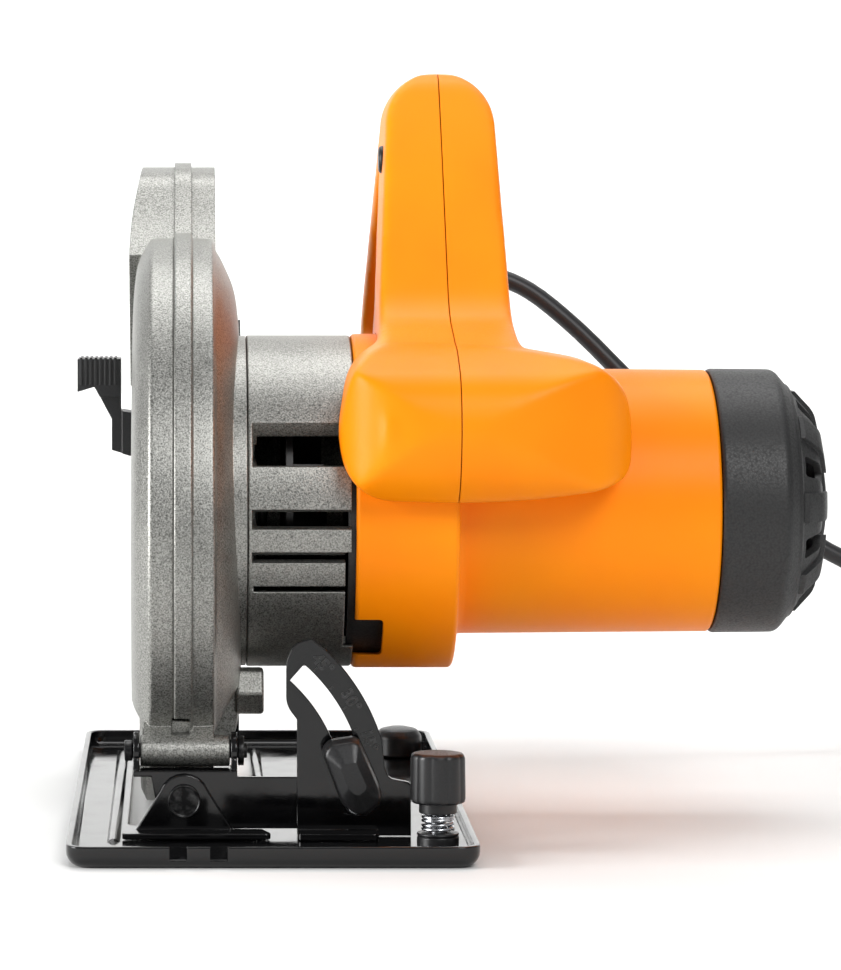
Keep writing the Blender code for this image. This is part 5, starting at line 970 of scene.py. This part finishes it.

# ---------------------------------------------------------------------------------------------------------------------
# The lead's sleeve and plug: soft black PVC moulded on. The sleeve tapers and is grooved so that it bends evenly; the
# plug is a flat two-pin body with nickel-plated pins, drawn here all in the lead's black.
# ---------------------------------------------------------------------------------------------------------------------
sleeve_profile = [(-11.6, 0), (-11.6, 7.9), (0, 7.9), (1.4, 7.0), (3.0, 6.6)]
for i in range(5):
    start = 4.6 + i * 5.2
    wide = 6.5 - 0.34 * i
    sleeve_profile += [(start, wide), (start + 0.3, wide - 0.9), (start + 1.5, wide - 0.9), (start + 1.8, wide - 0.05)]
sleeve_profile += [(31.2, 4.7), (32, 4.3), (32, 0)]
sleeve = turned("lead_sleeve", sleeve_profile, "Z", (0, 0), 48)
sleeve.data.transform(sleeve_pose)
finished(sleeve, "saw", ["strain_relief"], lead_sheath, 40.0)
finished(edged(copied("mains_plug", "plug_moulding"), 0.9, 3), "base", ["mains_plug"], lead_sheath)

# ---------------------------------------------------------------------------------------------------------------------
# The working parts inside and behind: bearings, spindle, shaft, stator, armature, brushes, fan, springs and screws.
# Each has its own finish: turned or ground steel, varnished windings, copper, carbon and moulded black nylon.
# ---------------------------------------------------------------------------------------------------------------------
# Turned steel: pale and bright, with tool marks 0.4 mm apart along its length.
turned_steel, tree, shader = finish_of("turned_bright_steel", "BDBDBE", 0.25, 1.0)
where = add_node(tree, "ShaderNodeTexCoord")
marks = add_node(tree, "ShaderNodeTexWave", {"bands_direction": "X"}, {"Scale": 1 / 0.0004 / 20, "Distortion": 1.5},
                 {"Vector": (where, "Object")})
mixed_by(tree, shader, marks, 0.2, 0.8, (0.18, 0.18, 0.18, 1), (0.34, 0.34, 0.34, 1), "Fac", "Roughness")
# Varnished steel laminations: dark grey sheets 0.5 mm thick, stacked along the motor.
laminations, tree, shader = finish_of("varnished_laminations", "5A5450", 0.45, 0.7)
where = add_node(tree, "ShaderNodeTexCoord")
sheets = add_node(tree, "ShaderNodeTexWave", {"bands_direction": "X"}, {"Scale": 1 / 0.001 / 20}, {"Vector": (where, "Object")})
mixed_by(tree, shader, sheets, 0.3, 0.7, linear("48423E"), linear("6E6864"), "Fac")
# Enamelled copper: reddish brown windings and bars, unevenly varnished.
copper, tree, shader = finish_of("varnished_copper", "B06A42", 0.35, 0.9)
where = add_node(tree, "ShaderNodeTexCoord")
varnish = add_node(tree, "ShaderNodeTexNoise", values={"Scale": 1 / 0.004, "Detail": 4.0}, links={"Vector": (where, "Object")})
mixed_by(tree, shader, varnish, 0.3, 0.7, linear("8A4A2C"), linear("C47E52"), "Fac")
# Pressed carbon: matt grey-black with a faint graphite glint.
carbon, tree, shader = finish_of("pressed_carbon", "232325", 0.6, 0.2)
where = add_node(tree, "ShaderNodeTexCoord")
graphite = add_node(tree, "ShaderNodeTexNoise", values={"Scale": 1 / 0.0008, "Detail": 3.0}, links={"Vector": (where, "Object")})
mixed_by(tree, shader, graphite, 0.4, 0.7, linear("1A1A1C"), linear("3A3A3D"), "Fac")

INNER_PIECES = (
    ("spindle", "spindle", turned_steel, "turned_steel"),
    ("armature_shaft", "armature", turned_steel, "turned_steel"),
    ("spindle_bearing", "saw", turned_steel, "turned_steel"),
    ("front_motor_bearing", "saw", turned_steel, "turned_steel"),
    ("rear_motor_bearing", "saw", turned_steel, "turned_steel"),
    ("guard_return_spring", "saw", turned_steel, "turned_steel"),
    ("spindle_bush", "saw", copper, "copper"),
    ("brush_holder_front", "saw", copper, "copper"),
    ("brush_holder_rear", "saw", copper, "copper"),
    ("armature_core", "armature", copper, "copper"),
    ("commutator", "armature", copper, "copper"),
    ("stator", "saw", laminations, "laminations"),
    ("carbon_brush_front", "saw", carbon, "carbon"),
    ("carbon_brush_rear", "saw", carbon, "carbon"),
    ("cooling_fan", "armature", satin_nylon, "black_plastic"),
    ("rear_bearing_bracket", "saw", satin_nylon, "black_plastic"),
    ("bevel_lock_bolt", "tilt_frame", zinc_plate, "plated_steel"),
    ("depth_lock_bolt", "saw", zinc_plate, "plated_steel"),
    ("handle_screw_1", "saw", zinc_plate, "plated_steel"),
    ("handle_screw_2", "saw", zinc_plate, "plated_steel"),
    ("handle_screw_3", "saw", zinc_plate, "plated_steel"),
)
for node, body, finish, slot_name in INNER_PIECES:
    finished(edged(copied(node, node + "_piece"), 0.2, 1, 40), body, [node], finish)
